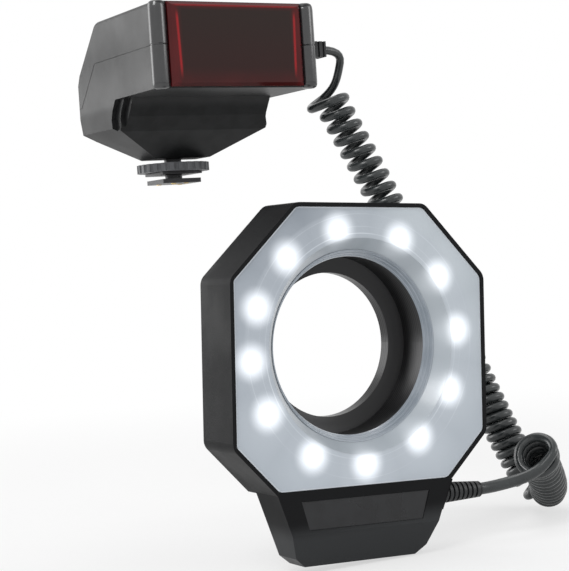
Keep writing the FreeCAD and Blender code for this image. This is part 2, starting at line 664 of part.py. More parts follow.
def make_shoe_contacts():
    item = new_body("shoe_contacts")
    drawn = sketch_on(item, "XY_Plane", "-pin_proud")
    for across, forward in CONTACT_PLACES:
        ring_hole(drawn, across, forward, "pin_radius")
    pad(item, drawn, "foot_thick + pin_proud")
    return item


def make_lock_plate():
    item = new_body("lock_plate")
    drawn = sketch_on(item, "XY_Plane", "foot_thick + rail_gap")
    rectangle(drawn, "-plate_side / 2", "-plate_side / 2", "plate_side / 2", "plate_side / 2")
    pad(item, drawn, "plate_thick")
    corner = size("plate_side") / 2
    soften(item, "foot_corner", lambda at, way: along(way, (0, 0, 1)) and lies(abs(at.x), corner))
    drawn = sketch_on(item, "XY_Plane", "foot_thick + rail_gap")
    ring_hole(drawn, "0", "0", "stem_radius + thread_gap")
    cut(item, drawn, "plate_thick + 1", reverse=True)
    return item


def make_lock_wheel():
    item = new_body("lock_wheel")
    base = "foot_thick + rail_gap + plate_thick + wheel_gap"
    drawn = sketch_on(item, "XY_Plane", base)
    ring_hole(drawn, "0", "0", "wheel_radius")
    pad(item, drawn, "wheel_thick")
    drawn = sketch_on(item, "XY_Plane", base)
    ring_hole(drawn, "0", "0", "stem_radius + thread_gap")
    cut(item, drawn, "wheel_thick + 1", reverse=True)
    drawn = sketch_on(item, "XY_Plane", base + " - 0.5")
    ring_hole(drawn, "wheel_radius + notch_radius * 0.3", "0", "notch_radius")
    notch = cut(item, drawn, "wheel_thick + 1", reverse=True)
    repeat_round(item, [notch], "Z_Axis", "notch_count")
    return item


# Ring head shells

def ring_octagon(inset):
    """The head's outline, drawn in from its outer face by the same distance all round."""
    half, tall = "(ring_half_width - %s)" % inset, "(ring_half_tall - %s)" % inset
    top, low = ["(%s - %s * %s)" % (bevel, inset, CORNER_SHARE) for bevel in ("top_bevel", "bottom_bevel")]
    right = [("%s - %s" % (half, low), "-" + tall), (half, "-%s + %s" % (tall, low)),
             (half, "%s - %s" % (tall, top)), ("%s - %s" % (half, top), tall)]
    return right + [("-(%s)" % x, y) for x, y in reversed(right)]


def chin_outline(inset, drop="0"):
    """The chin below the octagon, from the octagon's lower edge down."""
    top = "-ring_half_tall + ring_wall - (%s)" % drop
    right = [("chin_top - (%s)" % inset, top), ("chin_low_half - (%s)" % inset, "-" + CHIN_LOW),
             ("chin_base_half - (%s) * 0.4" % inset, "-chin_base + (%s)" % inset)]
    return [("-(%s)" % x, y) for x, y in right] + list(reversed(right))


def ring_corners(at, way):
    """The octagon's eight corners, which run from front to back."""
    inside_x = abs(at.x) > size("ring_half_width") - size("top_bevel") - 1
    return along(way, (0, 1, 0)) and inside_x and at.z > -size("ring_half_tall") + 2


def relief_boss(item, front, back):
    """The boss on the chin's right side: its slanted face has a round seat for the cord's relief."""
    drawn = sketch_on(item, "XZ_Plane", "-(%s)" % front)
    outline(drawn, [("chin_low_half - ring_wall * 0.5", "-relief_drop - boss_half"),
                    ("boss_reach - boss_slant", "-relief_drop - boss_half"),
                    ("boss_reach + boss_slant", "-relief_drop + boss_half"),
                    ("chin_low_half - ring_wall * 0.5", "-relief_drop + boss_half")])
    pad(item, drawn, "(%s) - (%s)" % (back, front), reverse=True)
    drawn = sketch_on(item, "YZ_Plane", "boss_reach")
    ring_hole(drawn, "relief_back", "-relief_drop", "relief_radius + relief_gap")
    cut(item, drawn, "2 * boss_slant", reverse=True)


def relief_hole(item):
    drawn = sketch_on(item, "YZ_Plane", "chin_low_half - 6")
    ring_hole(drawn, "relief_back", "-relief_drop", "relief_root")
    cut(item, drawn, "boss_reach - chin_low_half + 8", reverse=True)


def make_front_shell():
    item = ring_body("ring_front_shell")
    drawn = sketch_on(item, "XZ_Plane")
    outline(drawn, ring_octagon("0"))
    pad(item, drawn, "ring_parting", reverse=True)
    soften(item, "ring_corner", ring_corners)
    drawn = sketch_on(item, "XZ_Plane")
    outline(drawn, chin_outline("0"))
    pad(item, drawn, "ring_parting", reverse=True)
    drawn = sketch_on(item, "YZ_Plane")
    outline(drawn, [("-1", "-chin_crease"), ("0", "-chin_crease"), ("chin_slant", "-chin_base"),
                    ("chin_slant", "-chin_base - 1"), ("-1", "-chin_base - 1")])
    cut(item, drawn, "3 * chin_top", middle=True)
    relief_boss(item, "relief_back - boss_half + 0.6", "ring_parting")
    drawn = sketch_on(item, "XZ_Plane")
    outline(drawn, ring_octagon("ring_wall"))
    cut(item, drawn, "diffuser_set + diffuser_thick")
    drawn = sketch_on(item, "XZ_Plane")
    outline(drawn, ring_octagon("(ring_wall + diffuser_ledge)"))
    cut(item, drawn, "ring_parting + 1")
    drawn = sketch_on(item, "XZ_Plane", "-ring_parting - 1")
    top = "-ring_half_tall - ring_wall"
    outline(drawn, [("-chin_top + 2 * ring_wall", top), ("-chin_low_half + ring_wall", "-chin_crease"),
                    ("chin_low_half - ring_wall", "-chin_crease"), ("chin_top - 2 * ring_wall", top)])
    cut(item, drawn, "ring_parting + 1 - 1.5 * ring_wall", reverse=True)
    drawn = sketch_on(item, "XZ_Plane", "-ring_parting - 1")
    outline(drawn, [("-chin_low_half + ring_wall", "-chin_crease"), ("-chin_low_half + ring_wall", "-" + CHIN_LOW),
                    ("-chin_base_half", "-chin_base + ring_wall"), ("chin_base_half", "-chin_base + ring_wall"),
                    ("chin_low_half - ring_wall", "-" + CHIN_LOW), ("chin_low_half - ring_wall", "-chin_crease")])
    cut(item, drawn, "ring_parting + 1 - chin_slant - ring_wall", reverse=True)
    drawn = sketch_on(item, "XZ_Plane")
    outline(drawn, plate_outline("0"))
    cut(item, drawn, "plate_depth")
    relief_hole(item)
    return item


def plate_outline(seam):
    return [("-plate_top_half + (%s)" % seam, "-plate_top - (%s)" % seam),
            ("-plate_low_half + (%s)" % seam, "-plate_low + (%s)" % seam),
            ("plate_low_half - (%s)" % seam, "-plate_low + (%s)" % seam),
            ("plate_top_half - (%s)" % seam, "-plate_top - (%s)" % seam)]


def make_chin_plate():
    item = ring_body("chin_plate")
    drawn = sketch_on(item, "XZ_Plane", "-plate_set")
    outline(drawn, plate_outline("plate_seam"))
    pad(item, drawn, "plate_depth - plate_set", reverse=True)
    return item


def make_rear_shell():
    item = ring_body("ring_rear_shell")
    drawn = sketch_on(item, "XZ_Plane", "-ring_parting")
    outline(drawn, ring_octagon("0"))
    pad(item, drawn, "ring_depth - ring_parting", reverse=True)
    soften(item, "ring_corner", ring_corners)
    back = size("ring_depth")
    soften(item, "ring_wall", lambda at, way: lies(at.y, back), "Chamfer", "Size")
    drawn = sketch_on(item, "XZ_Plane", "-ring_parting")
    outline(drawn, chin_outline("0"))
    pad(item, drawn, "chin_depth - ring_parting", reverse=True)
    relief_boss(item, "ring_parting", "relief_back + boss_half - 0.6")
    drawn = sketch_on(item, "XZ_Plane", "-ring_parting + 1")
    outline(drawn, ring_octagon("(ring_wall + diffuser_ledge)"))
    cut(item, drawn, "ring_depth - ring_parting - ring_back + 1")
    drawn = sketch_on(item, "XZ_Plane", "-ring_parting + 1")
    outline(drawn, chin_outline("ring_wall * 1.2", "2 * ring_wall"))
    cut(item, drawn, "chin_depth - ring_parting - ring_wall + 1")
    drawn = sketch_on(item, "XZ_Plane", "-throat_depth - 0.3")
    ring_hole(drawn, "0", "0", BARREL_OUTER)
    pad(item, drawn, "ring_depth - throat_depth - 0.3", reverse=True)
    drawn = sketch_on(item, "XZ_Plane", "-throat_depth + 1")
    ring_hole(drawn, "0", "0", "barrel_radius")
    cut(item, drawn, "ring_depth")
    drawn = sketch_on(item, "XZ_Plane", "-board_front - board_thick")
    for number in range(4):
        turn = math.radians(45 + 90 * number)
        across, up = ["%s * %.4f" % (LED_CIRCLE, share) for share in (math.cos(turn), math.sin(turn))]
        ring_hole(drawn, across, up, "post_radius")
    pad(item, drawn, "ring_depth - ring_back - board_front - board_thick + 0.5", reverse=True)
    drawn = sketch_on(item, "XZ_Plane", "-driver_place - board_thick")
    for side in (-1, 1):
        ring_hole(drawn, "%d * driver_half * 0.8" % side, "-chin_base + driver_low + driver_hold", "post_radius")
    pad(item, drawn, "chin_depth - ring_wall + 0.5 - driver_place - board_thick", reverse=True)
    for side in (-1, 1):
        drawn = sketch_on(item, "XZ_Plane", "-groove_place - groove_wide / 2 + latch_thick / 2 + latch_gap")
        low, high = LATCH_SPAN[side]
        rectangle(drawn, low, "-latch_half - latch_gap", high, "latch_half + latch_gap")
        cut(item, drawn, "latch_thick + 2 * latch_gap")
        drawn = sketch_on(item, "XZ_Plane", "-ring_depth + ring_back + 1")
        rectangle(drawn, TAB_SPAN[side][0], "-latch_half + 1 - latch_gap", TAB_SPAN[side][1],
                  "latch_half - 1 + latch_gap")
        cut(item, drawn, "ring_back + 2")
    return item


def spans(low, high):
    """The same stretch of X on the right and on the left."""
    return {1: (low, high), -1: ("-(%s)" % high, "-(%s)" % low)}


LATCH_SPAN = spans("barrel_radius - 2", "barrel_radius + barrel_wall + 2")
TAB_SPAN = spans(LATCH_END + " - latch_tab - latch_gap", LATCH_END + " + latch_travel + latch_gap")
LATCH_BAR = spans(LATCH_TIP, LATCH_END)
LATCH_TAB = spans(LATCH_END + " - latch_tab", LATCH_END)


def make_latch(label, side):
    item = ring_body(label)
    front = "groove_place + groove_wide / 2 - latch_thick / 2"
    drawn = sketch_on(item, "XZ_Plane", "-(%s)" % front)
    rectangle(drawn, LATCH_BAR[side][0], "-latch_half", LATCH_BAR[side][1], "latch_half")
    pad(item, drawn, "latch_thick", reverse=True)
    drawn = sketch_on(item, "XZ_Plane", "-(%s) - latch_thick" % front)
    rectangle(drawn, LATCH_TAB[side][0], "-latch_half + 1", LATCH_TAB[side][1], "latch_half - 1")
    pad(item, drawn, "ring_depth + tab_proud - (%s) - latch_thick" % front, reverse=True)
    return item


# Light source

def make_diffuser():
    item = ring_body("diffuser")
    drawn = sketch_on(item, "XZ_Plane", "-diffuser_set")
    outline(drawn, ring_octagon("(ring_wall + diffuser_seam)"))
    pad(item, drawn, "diffuser_thick", reverse=True)
    soften(item, "ring_corner - ring_wall", ring_corners_inner)
    drawn = sketch_on(item, "XZ_Plane", "-diffuser_set + 1")
    ring_hole(drawn, "0", "0", RIM_RADIUS)
    cut(item, drawn, "diffuser_thick + 2")
    drawn = sketch_on(item, "XY_Plane")
    lip = RIM_RADIUS + " + lip_thick"
    outline(drawn, [(RIM_RADIUS, "diffuser_set"), (lip, "diffuser_set + 0.4"),
                    (lip, "diffuser_set + diffuser_thick"), (THROAT_RADIUS + " + lip_thick", "throat_depth"),
                    (THROAT_RADIUS, "throat_depth")])
    spin(item, drawn)
    return item


def ring_corners_inner(at, way):
    return along(way, (0, 1, 0)) and abs(at.x) > size("ring_half_width") - size("top_bevel") - 3


LAMP_TURNS = [-9.9, 25.4, 54.7, 83.7, 114.4, 143.9, 176.4, 206.5, 238.6, 264.9, 290.5, 319.1]


def led_places():
    """The lamps' places round the circle, as formulas. They aren't evenly spaced."""
    for turn in LAMP_TURNS:
        yield "%s * sin(%.1f deg)" % (LED_CIRCLE, turn), "%s * cos(%.1f deg)" % (LED_CIRCLE, turn)


def make_tray():
    item = ring_body("reflector_tray")
    drawn = sketch_on(item, "XZ_Plane", "-board_front")
    ring_hole(drawn, "0", "0", TRAY_OUTER)
    ring_hole(drawn, "0", "0", BARREL_OUTER + " + tray_gap")
    pad(item, drawn, "tray_thick")
    drawn = sketch_on(item, "XZ_Plane", "-board_front")
    ring_hole(drawn, "0", "0", TRAY_OUTER)
    ring_hole(drawn, "0", "0", TRAY_OUTER + " - tray_thick")
    pad(item, drawn, "tray_lip")
    drawn = sketch_on(item, "XZ_Plane", "-board_front - 1")
    for x, y in led_places():
        ring_hole(drawn, x, y, "led_radius + 0.25")
    cut(item, drawn, "tray_thick + 2", reverse=True)
    return item


def make_led_board():
    item = ring_body("led_board")
    drawn = sketch_on(item, "XZ_Plane", "-board_front")
    ring_hole(drawn, "0", "0", TRAY_OUTER)
    ring_hole(drawn, "0", "0", BARREL_OUTER + " + tray_gap")
    pad(item, drawn, "board_thick", reverse=True)
    return item


def make_led(number, x, y):
    item = ring_body("led_%02d" % number)
    drawn = sketch_on(item, "XZ_Plane", "-board_front")
    ring_hole(drawn, x, y, "led_radius")
    pad(item, drawn, "led_tall")
    front = size("board_front") - size("led_tall")
    soften(item, "led_dome", lambda at, way: lies(at.y, front), "Chamfer", "Size")
    return item


def make_driver_board():
    item = ring_body("driver_board")
    drawn = sketch_on(item, "XZ_Plane", "-driver_place")
    rectangle(drawn, "-driver_half", "-chin_base + driver_low", "driver_half", "-ring_half_tall - driver_high")
    pad(item, drawn, "board_thick", reverse=True)
    return item


# Adapter ring for the lens

def make_adapter():
    """A sleeve that turns in the head's bore, its rear flange, and the thread that screws into a lens."""
    item = ring_body("adapter_ring")
    back = "(ring_depth + flange_gap)"
    drawn = sketch_on(item, "XY_Plane")
    groove = ADAPTER_OUTER + " - groove_deep"
    outline(drawn, [(ADAPTER_LIP, "adapter_front"), (ADAPTER_OUTER, "adapter_front"),
                    (ADAPTER_OUTER, "groove_place"), (groove, "groove_place"),
                    (groove, "groove_place + groove_wide"), (ADAPTER_OUTER, "groove_place + groove_wide"),
                    (ADAPTER_OUTER, back), (FLANGE_RADIUS, back), (FLANGE_RADIUS, back + " + adapter_flange"),
                    ("thread_radius", back + " + adapter_flange"),
                    ("thread_radius", back + " + adapter_flange + thread_length"),
                    ("thread_bore", back + " + adapter_flange + thread_length"),
                    ("thread_bore", back + " + 0.6"), (ADAPTER_LIP, back + " - 1")])
    spin(item, drawn)
    return item


# Strain reliefs where the cord leaves each housing

def make_gland():
    """The squared, grooved gland held between the unit's two shells."""
    item = new_body("unit_cord_gland")
    drawn = sketch_on(item, "YZ_Plane", "half_width - wall - gland_flange")
    rectangle(drawn, "-gland_back - gland_half_deep - 1", "gland_rise - gland_half_tall - 1",
              "-gland_back + gland_half_deep + 1", "gland_rise + gland_half_tall + 1")
    pad(item, drawn, "gland_flange")
    drawn = sketch_on(item, "YZ_Plane", "half_width - wall")
    rectangle(drawn, "-gland_back - gland_half_deep", "gland_rise - gland_half_tall",
              "-gland_back + gland_half_deep", "gland_rise + gland_half_tall")
    pad(item, drawn, "wall + gland_out")
    for groove in range(int(size("gland_ribs"))):
        drawn = sketch_on(item, "YZ_Plane", "half_width + gland_out * (%d + 0.6) / gland_ribs" % groove)
        rectangle(drawn, "-gland_back - gland_half_deep * 2", "gland_rise - gland_half_tall * 2",
                  "-gland_back + gland_half_deep * 2", "gland_rise + gland_half_tall * 2")
        rectangle(drawn, "-gland_back - gland_half_deep + gland_groove",
                  "gland_rise - gland_half_tall + gland_groove",
                  "-gland_back + gland_half_deep - gland_groove",
                  "gland_rise + gland_half_tall - gland_groove")
        cut(item, drawn, "gland_out / gland_ribs * 0.36")
    return item


def make_relief():
    """The round, ribbed relief on the chin's boss, tapering to the cord."""
    item = ring_body("ring_cord_relief")
    place(item, RELIEF_BASE, (0, 1, 0), "head_turn + 90")
    drawn = sketch_on(item, "XZ_Plane")
    corners = [("0", "-relief_root_length"), ("relief_root - 0.05", "-relief_root_length"),
               ("relief_root - 0.05", "0"), ("relief_radius", "0")]
    ribs = int(size("relief_ribs"))
    for rib in range(ribs):
        for share, sunk in ((0.62, 0), (0.62, 1), (1.0, 1), (1.0, 0)):
            reach = (rib + share) / ribs
            taper = "relief_radius - (relief_radius - relief_tip) * %.4f" % reach
            if rib < ribs - 1 or share < 1:
                corners.append((taper + " - %d * relief_groove" % sunk, "relief_length * %.4f" % reach))
    corners += [("relief_tip", "relief_length"), ("0", "relief_length")]
    outline(drawn, corners)
    spin(item, drawn)
    return item


# The cord

LEAD = [(46.7, -56, 51.8), (56.9, -56, 51.8), (57.3, -51.0, 41.8), (57.4, -46.5, 36.9)]
LEAD_BENDS = [8.5, 10.5]
COIL_AXIS = [(53.1, -48.0, 33.1), (89.9, -62.5, -53.1), (116.6, -92.7, -136.2), (112.4, -105.4, -142.1),
             (81.5, -138.0, -119.6)]
TAIL_BEND = (60.3, -137.5, -130.6)
TAIL_END = (77.6, -143.3, -127.4)
COIL_BENDS = [60.0, 13.0, 13.0]
START_ANGLE = 20.0
END_LEAD = 25.0
END_CURL = 7.1


def unit_vector(item):
    return item * (1 / item.Length)


def turned(item, axis, angle):
    return Rotation(axis, math.degrees(angle)).multVec(item)


def bent_route(points, radii=None):
    """Straight runs and tangent arcs through points.

    Each piece is (start, direction, bend axis, radius, length). Without radii each arc is the largest that leaves
    a tenth of the shorter run beside it straight.
    """
    points = [Vector(*point) for point in points]
    pieces = []
    start = points[0]
    for number, (before, corner, after) in enumerate(zip(points, points[1:], points[2:])):
        come = unit_vector(corner - before)
        leave = unit_vector(after - corner)
        turn = math.acos(max(-1.0, min(1.0, come.dot(leave))))
        if radii:
            radius = radii[number]
        else:
            radius = 0.45 * min((corner - before).Length, (after - corner).Length) / math.tan(turn / 2)
        reach = radius * math.tan(turn / 2)
        entry = corner - come * reach
        pieces.append((start, come, None, 0.0, (entry - start).Length))
        pieces.append((entry, come, unit_vector(come.cross(leave)), radius, radius * turn))
        start = corner + leave * reach
    last = points[-1] - start
    pieces.append((start, unit_vector(last), None, 0.0, last.Length))
    return pieces


def piece_at(piece, along_it):
    """The point and the direction some way along a run or an arc."""
    start, way, axis, radius, length = piece
    if axis is None:
        return start + way * along_it, way
    centre = start + axis.cross(way) * radius
    angle = along_it / radius
    return centre + turned(start - centre, axis, angle), turned(way, axis, angle)


def route_wire(pieces):
    edges = []
    for piece in pieces:
        length = piece[4]
        if length < 1e-6:
            continue
        ends = [piece_at(piece, length * share)[0] for share in (0, 0.5, 1)]
        if piece[2] is None:
            edges.append(Part.LineSegment(ends[0], ends[2]).toShape())
        else:
            edges.append(Part.Arc(*ends).toShape())
    return Part.Wire(edges)


def biarc(start, come, end, leave):
    """Two tangent arcs from one point and direction to another."""
    across = end - start
    both = come + leave
    spread = 2 * (1 - come.dot(leave))
    dot = across.dot(both)
    reach = (-dot + math.sqrt(dot * dot + spread * across.dot(across))) / spread
    first, second = start + come * reach, end - leave * reach
    middle = (first + second) * 0.5
    return [arc_between(start, first, middle), arc_between(middle, second, end)]


def arc_between(start, knee, end):
    """The arc from start to end whose end tangents meet at the knee."""
    chord = (start + end) * 0.5
    angle = math.acos(min(1.0, (end - start).Length / 2 / (knee - start).Length))
    middle = chord + (knee - chord) * (math.tan(angle / 2) / math.tan(angle))
    return Part.Arc(start, middle, end).toShape()


class CoilAxis:
    """The line that the curls go round: its points, and a frame that doesn't twist along it."""

    def __init__(self):
        self.pieces = bent_route(COIL_AXIS, COIL_BENDS)
        self.length = sum(piece[4] for piece in self.pieces)
        way = self.pieces[0][1]
        side = unit_vector(Vector(0, 1, 0) - way * way.y)
        self.sides = []
        for piece in self.pieces:
            self.sides.append(side)
            if piece[2] is not None:
                side = turned(side, piece[2], piece[4] / piece[3])

    def at(self, distance):
        """Point, direction, the two sides of the frame, and the bend radius there."""
        left = min(max(distance, 0.0), self.length)
        for piece, side in zip(self.pieces, self.sides):
            if left <= piece[4] or piece is self.pieces[-1]:
                point, way = piece_at(piece, left)
                if piece[2] is not None:
                    side = turned(side, piece[2], left / piece[3])
                return point, way, side, way.cross(side), piece[3] or 1e6
            left -= piece[4]


def coil_pitch(axis, distance):
    """Loose near the unit, close wound lower down, and opened out where the coil bends."""
    loose, tight = size("loose_pitch"), size("tight_pitch")
    share = min(max((distance - 0.42 * axis.length) / (0.22 * axis.length), 0.0), 1.0)
    pitch = loose + (tight - loose) * share * share * (3 - 2 * share)
    radius = min(axis.at(distance + step)[4] for step in (-3, 0, 3))
    return max(pitch, tight * radius / (radius - size("curl_radius")))


def coil_points():
    """Points a quarter turn apart along the curls, with their directions."""
    axis = CoilAxis()
    steps = 1200
    gap = axis.length / steps
    turns = [0.0]
    for step in range(steps):
        turns.append(turns[-1] + gap / coil_pitch(axis, (step + 0.5) * gap))
    start_way = axis.at(0)
    start_angle = math.radians(START_ANGLE)
    end_point, end_way, end_side, end_other, bends = axis.at(axis.length)
    down = Vector(0, 0, -1)
    end_angle = math.atan2(down.dot(end_other), down.dot(end_side)) + math.radians(END_LEAD)
    exact = (start_angle - end_angle) / (2 * math.pi)
    count = exact + round(turns[-1] - exact)
    scale = count / turns[-1]

    def curl(distance):
        share = min(max(distance / gap, 0.0), steps - 1e-6)
        low = int(share)
        turn = (turns[low] + (turns[low + 1] - turns[low]) * (share - low)) * scale
        point, way, side, other, bend = axis.at(distance)
        angle = start_angle - 2 * math.pi * turn
        swell = min(max((turn - count + 3.0) / 2.5, 0.0), 1.0)
        radius = size("curl_radius") + (END_CURL - size("curl_radius")) * swell
        return point + side * (radius * math.cos(angle)) + other * (radius * math.sin(angle))

    places = []
    wanted = 0.25
    for step in range(1, steps + 1):
        while wanted <= count - 0.2 and turns[step] * scale >= wanted:
            before = turns[step - 1] * scale
            share = (wanted - before) / (turns[step] * scale - before)
            distance = (step - 1 + share) * gap
            ahead, behind = curl(distance + 0.01), curl(distance - 0.01)
            places.append((curl(distance), unit_vector(ahead - behind)))
            wanted += 0.25
    print("coil: %.1f turns, axis %.0f mm" % (count, axis.length))
    return places


def make_coil():
    """The curls as one unbroken tube, from the lead's end to the tail's end."""
    straight = 2 * size("cord_radius")
    start = Vector(*LEAD[-1])
    come = unit_vector(start - Vector(*LEAD[-2]))
    end = Vector(*TAIL_END)
    leave = unit_vector(Vector(*TAIL_BEND) - end)
    places = [(start + come * straight, come)] + coil_points() + [(end - leave * straight, leave)]
    edges = [Part.LineSegment(start, start + come * straight).toShape()]
    for (here, way), (there, onward) in zip(places, places[1:]):
        edges += biarc(here, way, there, onward)
    edges.append(Part.LineSegment(end - leave * straight, end).toShape())
    radii = [edge.Curve.Radius for edge in edges[1:-1]]
    tightest = min(radii)
    print("radii at the ends", ["%.1f" % radius for radius in radii[:4] + radii[-4:]])
    wire = Part.Wire(edges)
    item = tube("cord_coil", wire, size("cord_radius"), start, come)
    print("cord_coil: tightest radius %.2f, least gap to itself %.2f" % (tightest, self_gap(wire)))
    return item


def self_gap(wire):
    """The least clear distance between two turns, measured on points along the middle line."""
    count = int(wire.Length / 1.2)
    points = wire.discretize(Number=count)
    apart = int(16.0 / (wire.Length / count))
    least = min(((points[i] - points[j]).Length, i) for i in range(len(points))
                for j in range(i + apart, min(i + 60, len(points))))
    return least[0] - 2 * size("cord_radius")


def tube(label, wire, radius, start, way):
    """A round tube along a wire, checked against its section times its length."""
    ring = Part.Wire(Part.Circle(start, way, radius).toShape())
    shell = Part.BRepOffsetAPI.MakePipeShell(wire)
    shell.add(ring)
    shell.build()
    shell.makeSolid()
    item = doc.addObject("Part::Feature", label)
    item.Label = label
    item.Shape = shell.shape()
    expected = math.pi * radius * radius * wire.Length
    print("%s: length %.0f, volume %.3f of its section times its length" %
          (label, wire.Length, item.Shape.Volume / expected))
    PARTS.append(item)
    return item


def make_lead():
    """The free stretch from the unit's gland to the coil."""
    points = [(size("half_width") + size("gland_out"),) + LEAD[0][1:]] + LEAD[1:]
    pieces = bent_route(points, LEAD_BENDS)
    print("cord_lead radii:", ["%.1f" % piece[3] for piece in pieces if piece[2]])
    return tube("cord_lead", route_wire(pieces), size("cord_radius"), Vector(*points[0]), pieces[0][1])


def make_tail():
    """The thicker straight stretch from the coil to the ring head's relief."""
    turn = math.radians(size("head_turn"))
    reach = size("boss_reach") + size("relief_length")
    drop = -size("relief_drop")
    first = (reach * math.cos(turn) + drop * math.sin(turn), size("relief_back") - size("front_reach"),
             -reach * math.sin(turn) + drop * math.cos(turn) - size("axis_drop"))
    pieces = bent_route([first, TAIL_BEND, TAIL_END])
    print("cord_tail radii:", ["%.1f" % piece[3] for piece in pieces if piece[2]])
    return tube("cord_tail", route_wire(pieces), size("tail_radius"), Vector(*first), pieces[0][1])


def build():
    upper = make_upper_shell()
    cut_panel_seat(upper)
    make_lower_shell()
    make_window()
    make_lamp_board()
    make_focus_lamp("focus_lamp_left", -1)
    make_focus_lamp("focus_lamp_right", 1)
    make_holder()
    for number, (across, up) in enumerate([(-1, -1), (1, -1), (-1, 1), (1, 1)], 1):
        make_cell(number, across, up)
    make_bay_contacts()
    make_door()
    make_hinge_pin()
    make_door_contacts()
    make_panel()
    for label, across in BUTTONS.items():
        make_button(label, across)
    make_switch()
    make_pilot_lamps()
    make_panel_board()
    make_main_board()
    make_capacitor()
    make_foot()
    make_shoe_contacts()
    make_lock_plate()
    make_lock_wheel()
    make_gland()
    make_front_shell()
    make_chin_plate()
    make_rear_shell()
    make_diffuser()
    make_tray()
    make_led_board()
    for number, (x, y) in enumerate(led_places(), 1):
        make_led(number, x, y)
    make_driver_board()
    make_adapter()
    make_latch("latch_left", -1)
    make_latch("latch_right", 1)
    make_relief()
    make_lead()
    make_coil()
    make_tail()


build()
doc.recompute()

for item in doc.Objects:
    if {"Invalid", "Error"} & set(item.State):
        raise RuntimeError("%s is %s" % (item.Label, item.State))
for item in PARTS:
    if item.Shape.isNull() or not item.Shape.isValid() or item.Shape.Volume <= 0:
        raise RuntimeError("%s has no sound shape" % item.Label)

os.makedirs("parts", exist_ok=True)
for item in PARTS:
    item.Shape.exportStep("parts/%s.step" % item.Label)
print("%d parts" % len(PARTS))
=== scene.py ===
"""Looks of the macro ring light: camera, cord, materials, small trim and a plain studio.

Places are in the CAD's frame. Lengths are metres, and millimetres where point() or MM takes them in.
"""
import math

import bmesh
import bpy
from mathutils import Matrix, Vector


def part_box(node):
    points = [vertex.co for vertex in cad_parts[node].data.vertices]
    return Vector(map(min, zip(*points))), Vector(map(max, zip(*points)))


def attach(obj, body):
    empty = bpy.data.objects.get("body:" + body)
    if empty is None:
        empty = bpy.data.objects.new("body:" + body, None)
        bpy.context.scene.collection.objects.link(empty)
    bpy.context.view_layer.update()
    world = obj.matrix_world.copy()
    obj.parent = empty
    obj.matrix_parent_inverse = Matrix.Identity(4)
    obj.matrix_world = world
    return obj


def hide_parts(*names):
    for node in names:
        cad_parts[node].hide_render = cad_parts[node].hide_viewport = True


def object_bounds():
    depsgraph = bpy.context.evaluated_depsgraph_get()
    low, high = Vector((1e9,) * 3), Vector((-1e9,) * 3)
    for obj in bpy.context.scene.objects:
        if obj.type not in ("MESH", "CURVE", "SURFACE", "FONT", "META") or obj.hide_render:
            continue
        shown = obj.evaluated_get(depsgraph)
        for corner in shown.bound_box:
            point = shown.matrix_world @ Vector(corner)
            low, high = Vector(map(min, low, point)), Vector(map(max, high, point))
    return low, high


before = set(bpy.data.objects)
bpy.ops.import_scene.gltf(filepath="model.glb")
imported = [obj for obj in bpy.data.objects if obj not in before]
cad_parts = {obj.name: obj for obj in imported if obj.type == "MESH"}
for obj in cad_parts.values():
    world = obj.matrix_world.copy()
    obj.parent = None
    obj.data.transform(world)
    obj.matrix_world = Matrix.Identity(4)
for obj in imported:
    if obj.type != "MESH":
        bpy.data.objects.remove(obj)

MM = 0.001
cad_box = [[float(value) for value in corner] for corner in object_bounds()]
scene = bpy.context.scene
scene.view_settings.view_transform = "Standard"


def point(x, y, z):
    """A point given in millimetres."""
    return Vector((x, y, z)) * MM


HEAD_TURN = math.radians(3)
HEAD = Matrix.Translation(point(0, -146, -69.5)) @ Matrix.Rotation(HEAD_TURN, 4, "Y")


def head_point(x, y, z):
    """A point in the ring head's own frame, in millimetres: its front face is at y 0."""
    return HEAD @ point(x, y, z)


def link(item):
    scene.collection.objects.link(item)
    return item


# Camera

CAMERA_PLACE = point(-319.8131, -638.43404, -31.82228)
RIGHT = Vector((0.860758, -0.504724, -0.065946))
UP = Vector((0.068652, -0.013259, 0.997553))
AHEAD = Vector((0.504363, 0.863179, -0.023237))
SENSOR_WIDTH, FOCAL_LENGTH = 36, 100.876


def make_camera():
    lens = bpy.data.cameras.new("camera")
    lens.sensor_width = SENSOR_WIDTH
    lens.lens = FOCAL_LENGTH
    camera = link(bpy.data.objects.new("camera", lens))
    turn = Matrix((RIGHT, UP, -AHEAD)).transposed().to_4x4()
    camera.matrix_world = Matrix.Translation(CAMERA_PLACE) @ turn
    scene.camera = camera


# Cord: lead, curls and tail are one spline

CORD_RADIUS = 1.75 * MM
TAIL_SWELL = 2.35 / 1.75
CURL_SWELL = 1.06
CURL = 6.1 * MM
FIRST_SWELL = 3.4 * MM
END_CURL = 7.5 * MM
END_PUSH = 3.0 * MM
LOOSE, TIGHT = 6.2 * MM, 4.05 * MM
# Shares of the curls' axis
TIGHTEN_FROM, TIGHTEN_OVER = 0.42, 0.22
# Turns along the curls
FIRST_AT, FIRST_OVER = 0.32, 0.5
END_TURNS, END_OVER = 3, 2.5
PUSH_TURNS, PUSH_OVER = 0.5, 0.45
LAST_GAP = 0.07
# The axis is walked in small steps, and its bend is measured over this many of them on either side
AXIS_STEP = 0.04 * MM
BEND_REACH = 75
LEAST_ANGLE = 1e-6
LEAST_ROOM = 1 * MM
PER_TURN = 12
START_ANGLE = math.radians(20)
END_LEAD = math.radians(25)
LEAD = [point(46.7, -56, 51.8), point(56.9, -56, 51.8), point(57.3, -51, 41.8), point(57.4, -46.5, 36.9)]
AXIS = [point(53.1, -48, 33.1), point(91.8, -63.6, -53.2), point(113.6, -90.9, -138.5),
        point(119.2, -106.5, -145.5), point(82.5, -138.6, -119.8)]
TAIL = [point(77.6, -143.3, -127.4), point(60.3, -137.5, -130.6), head_point(57, 8.5, -57.9)]


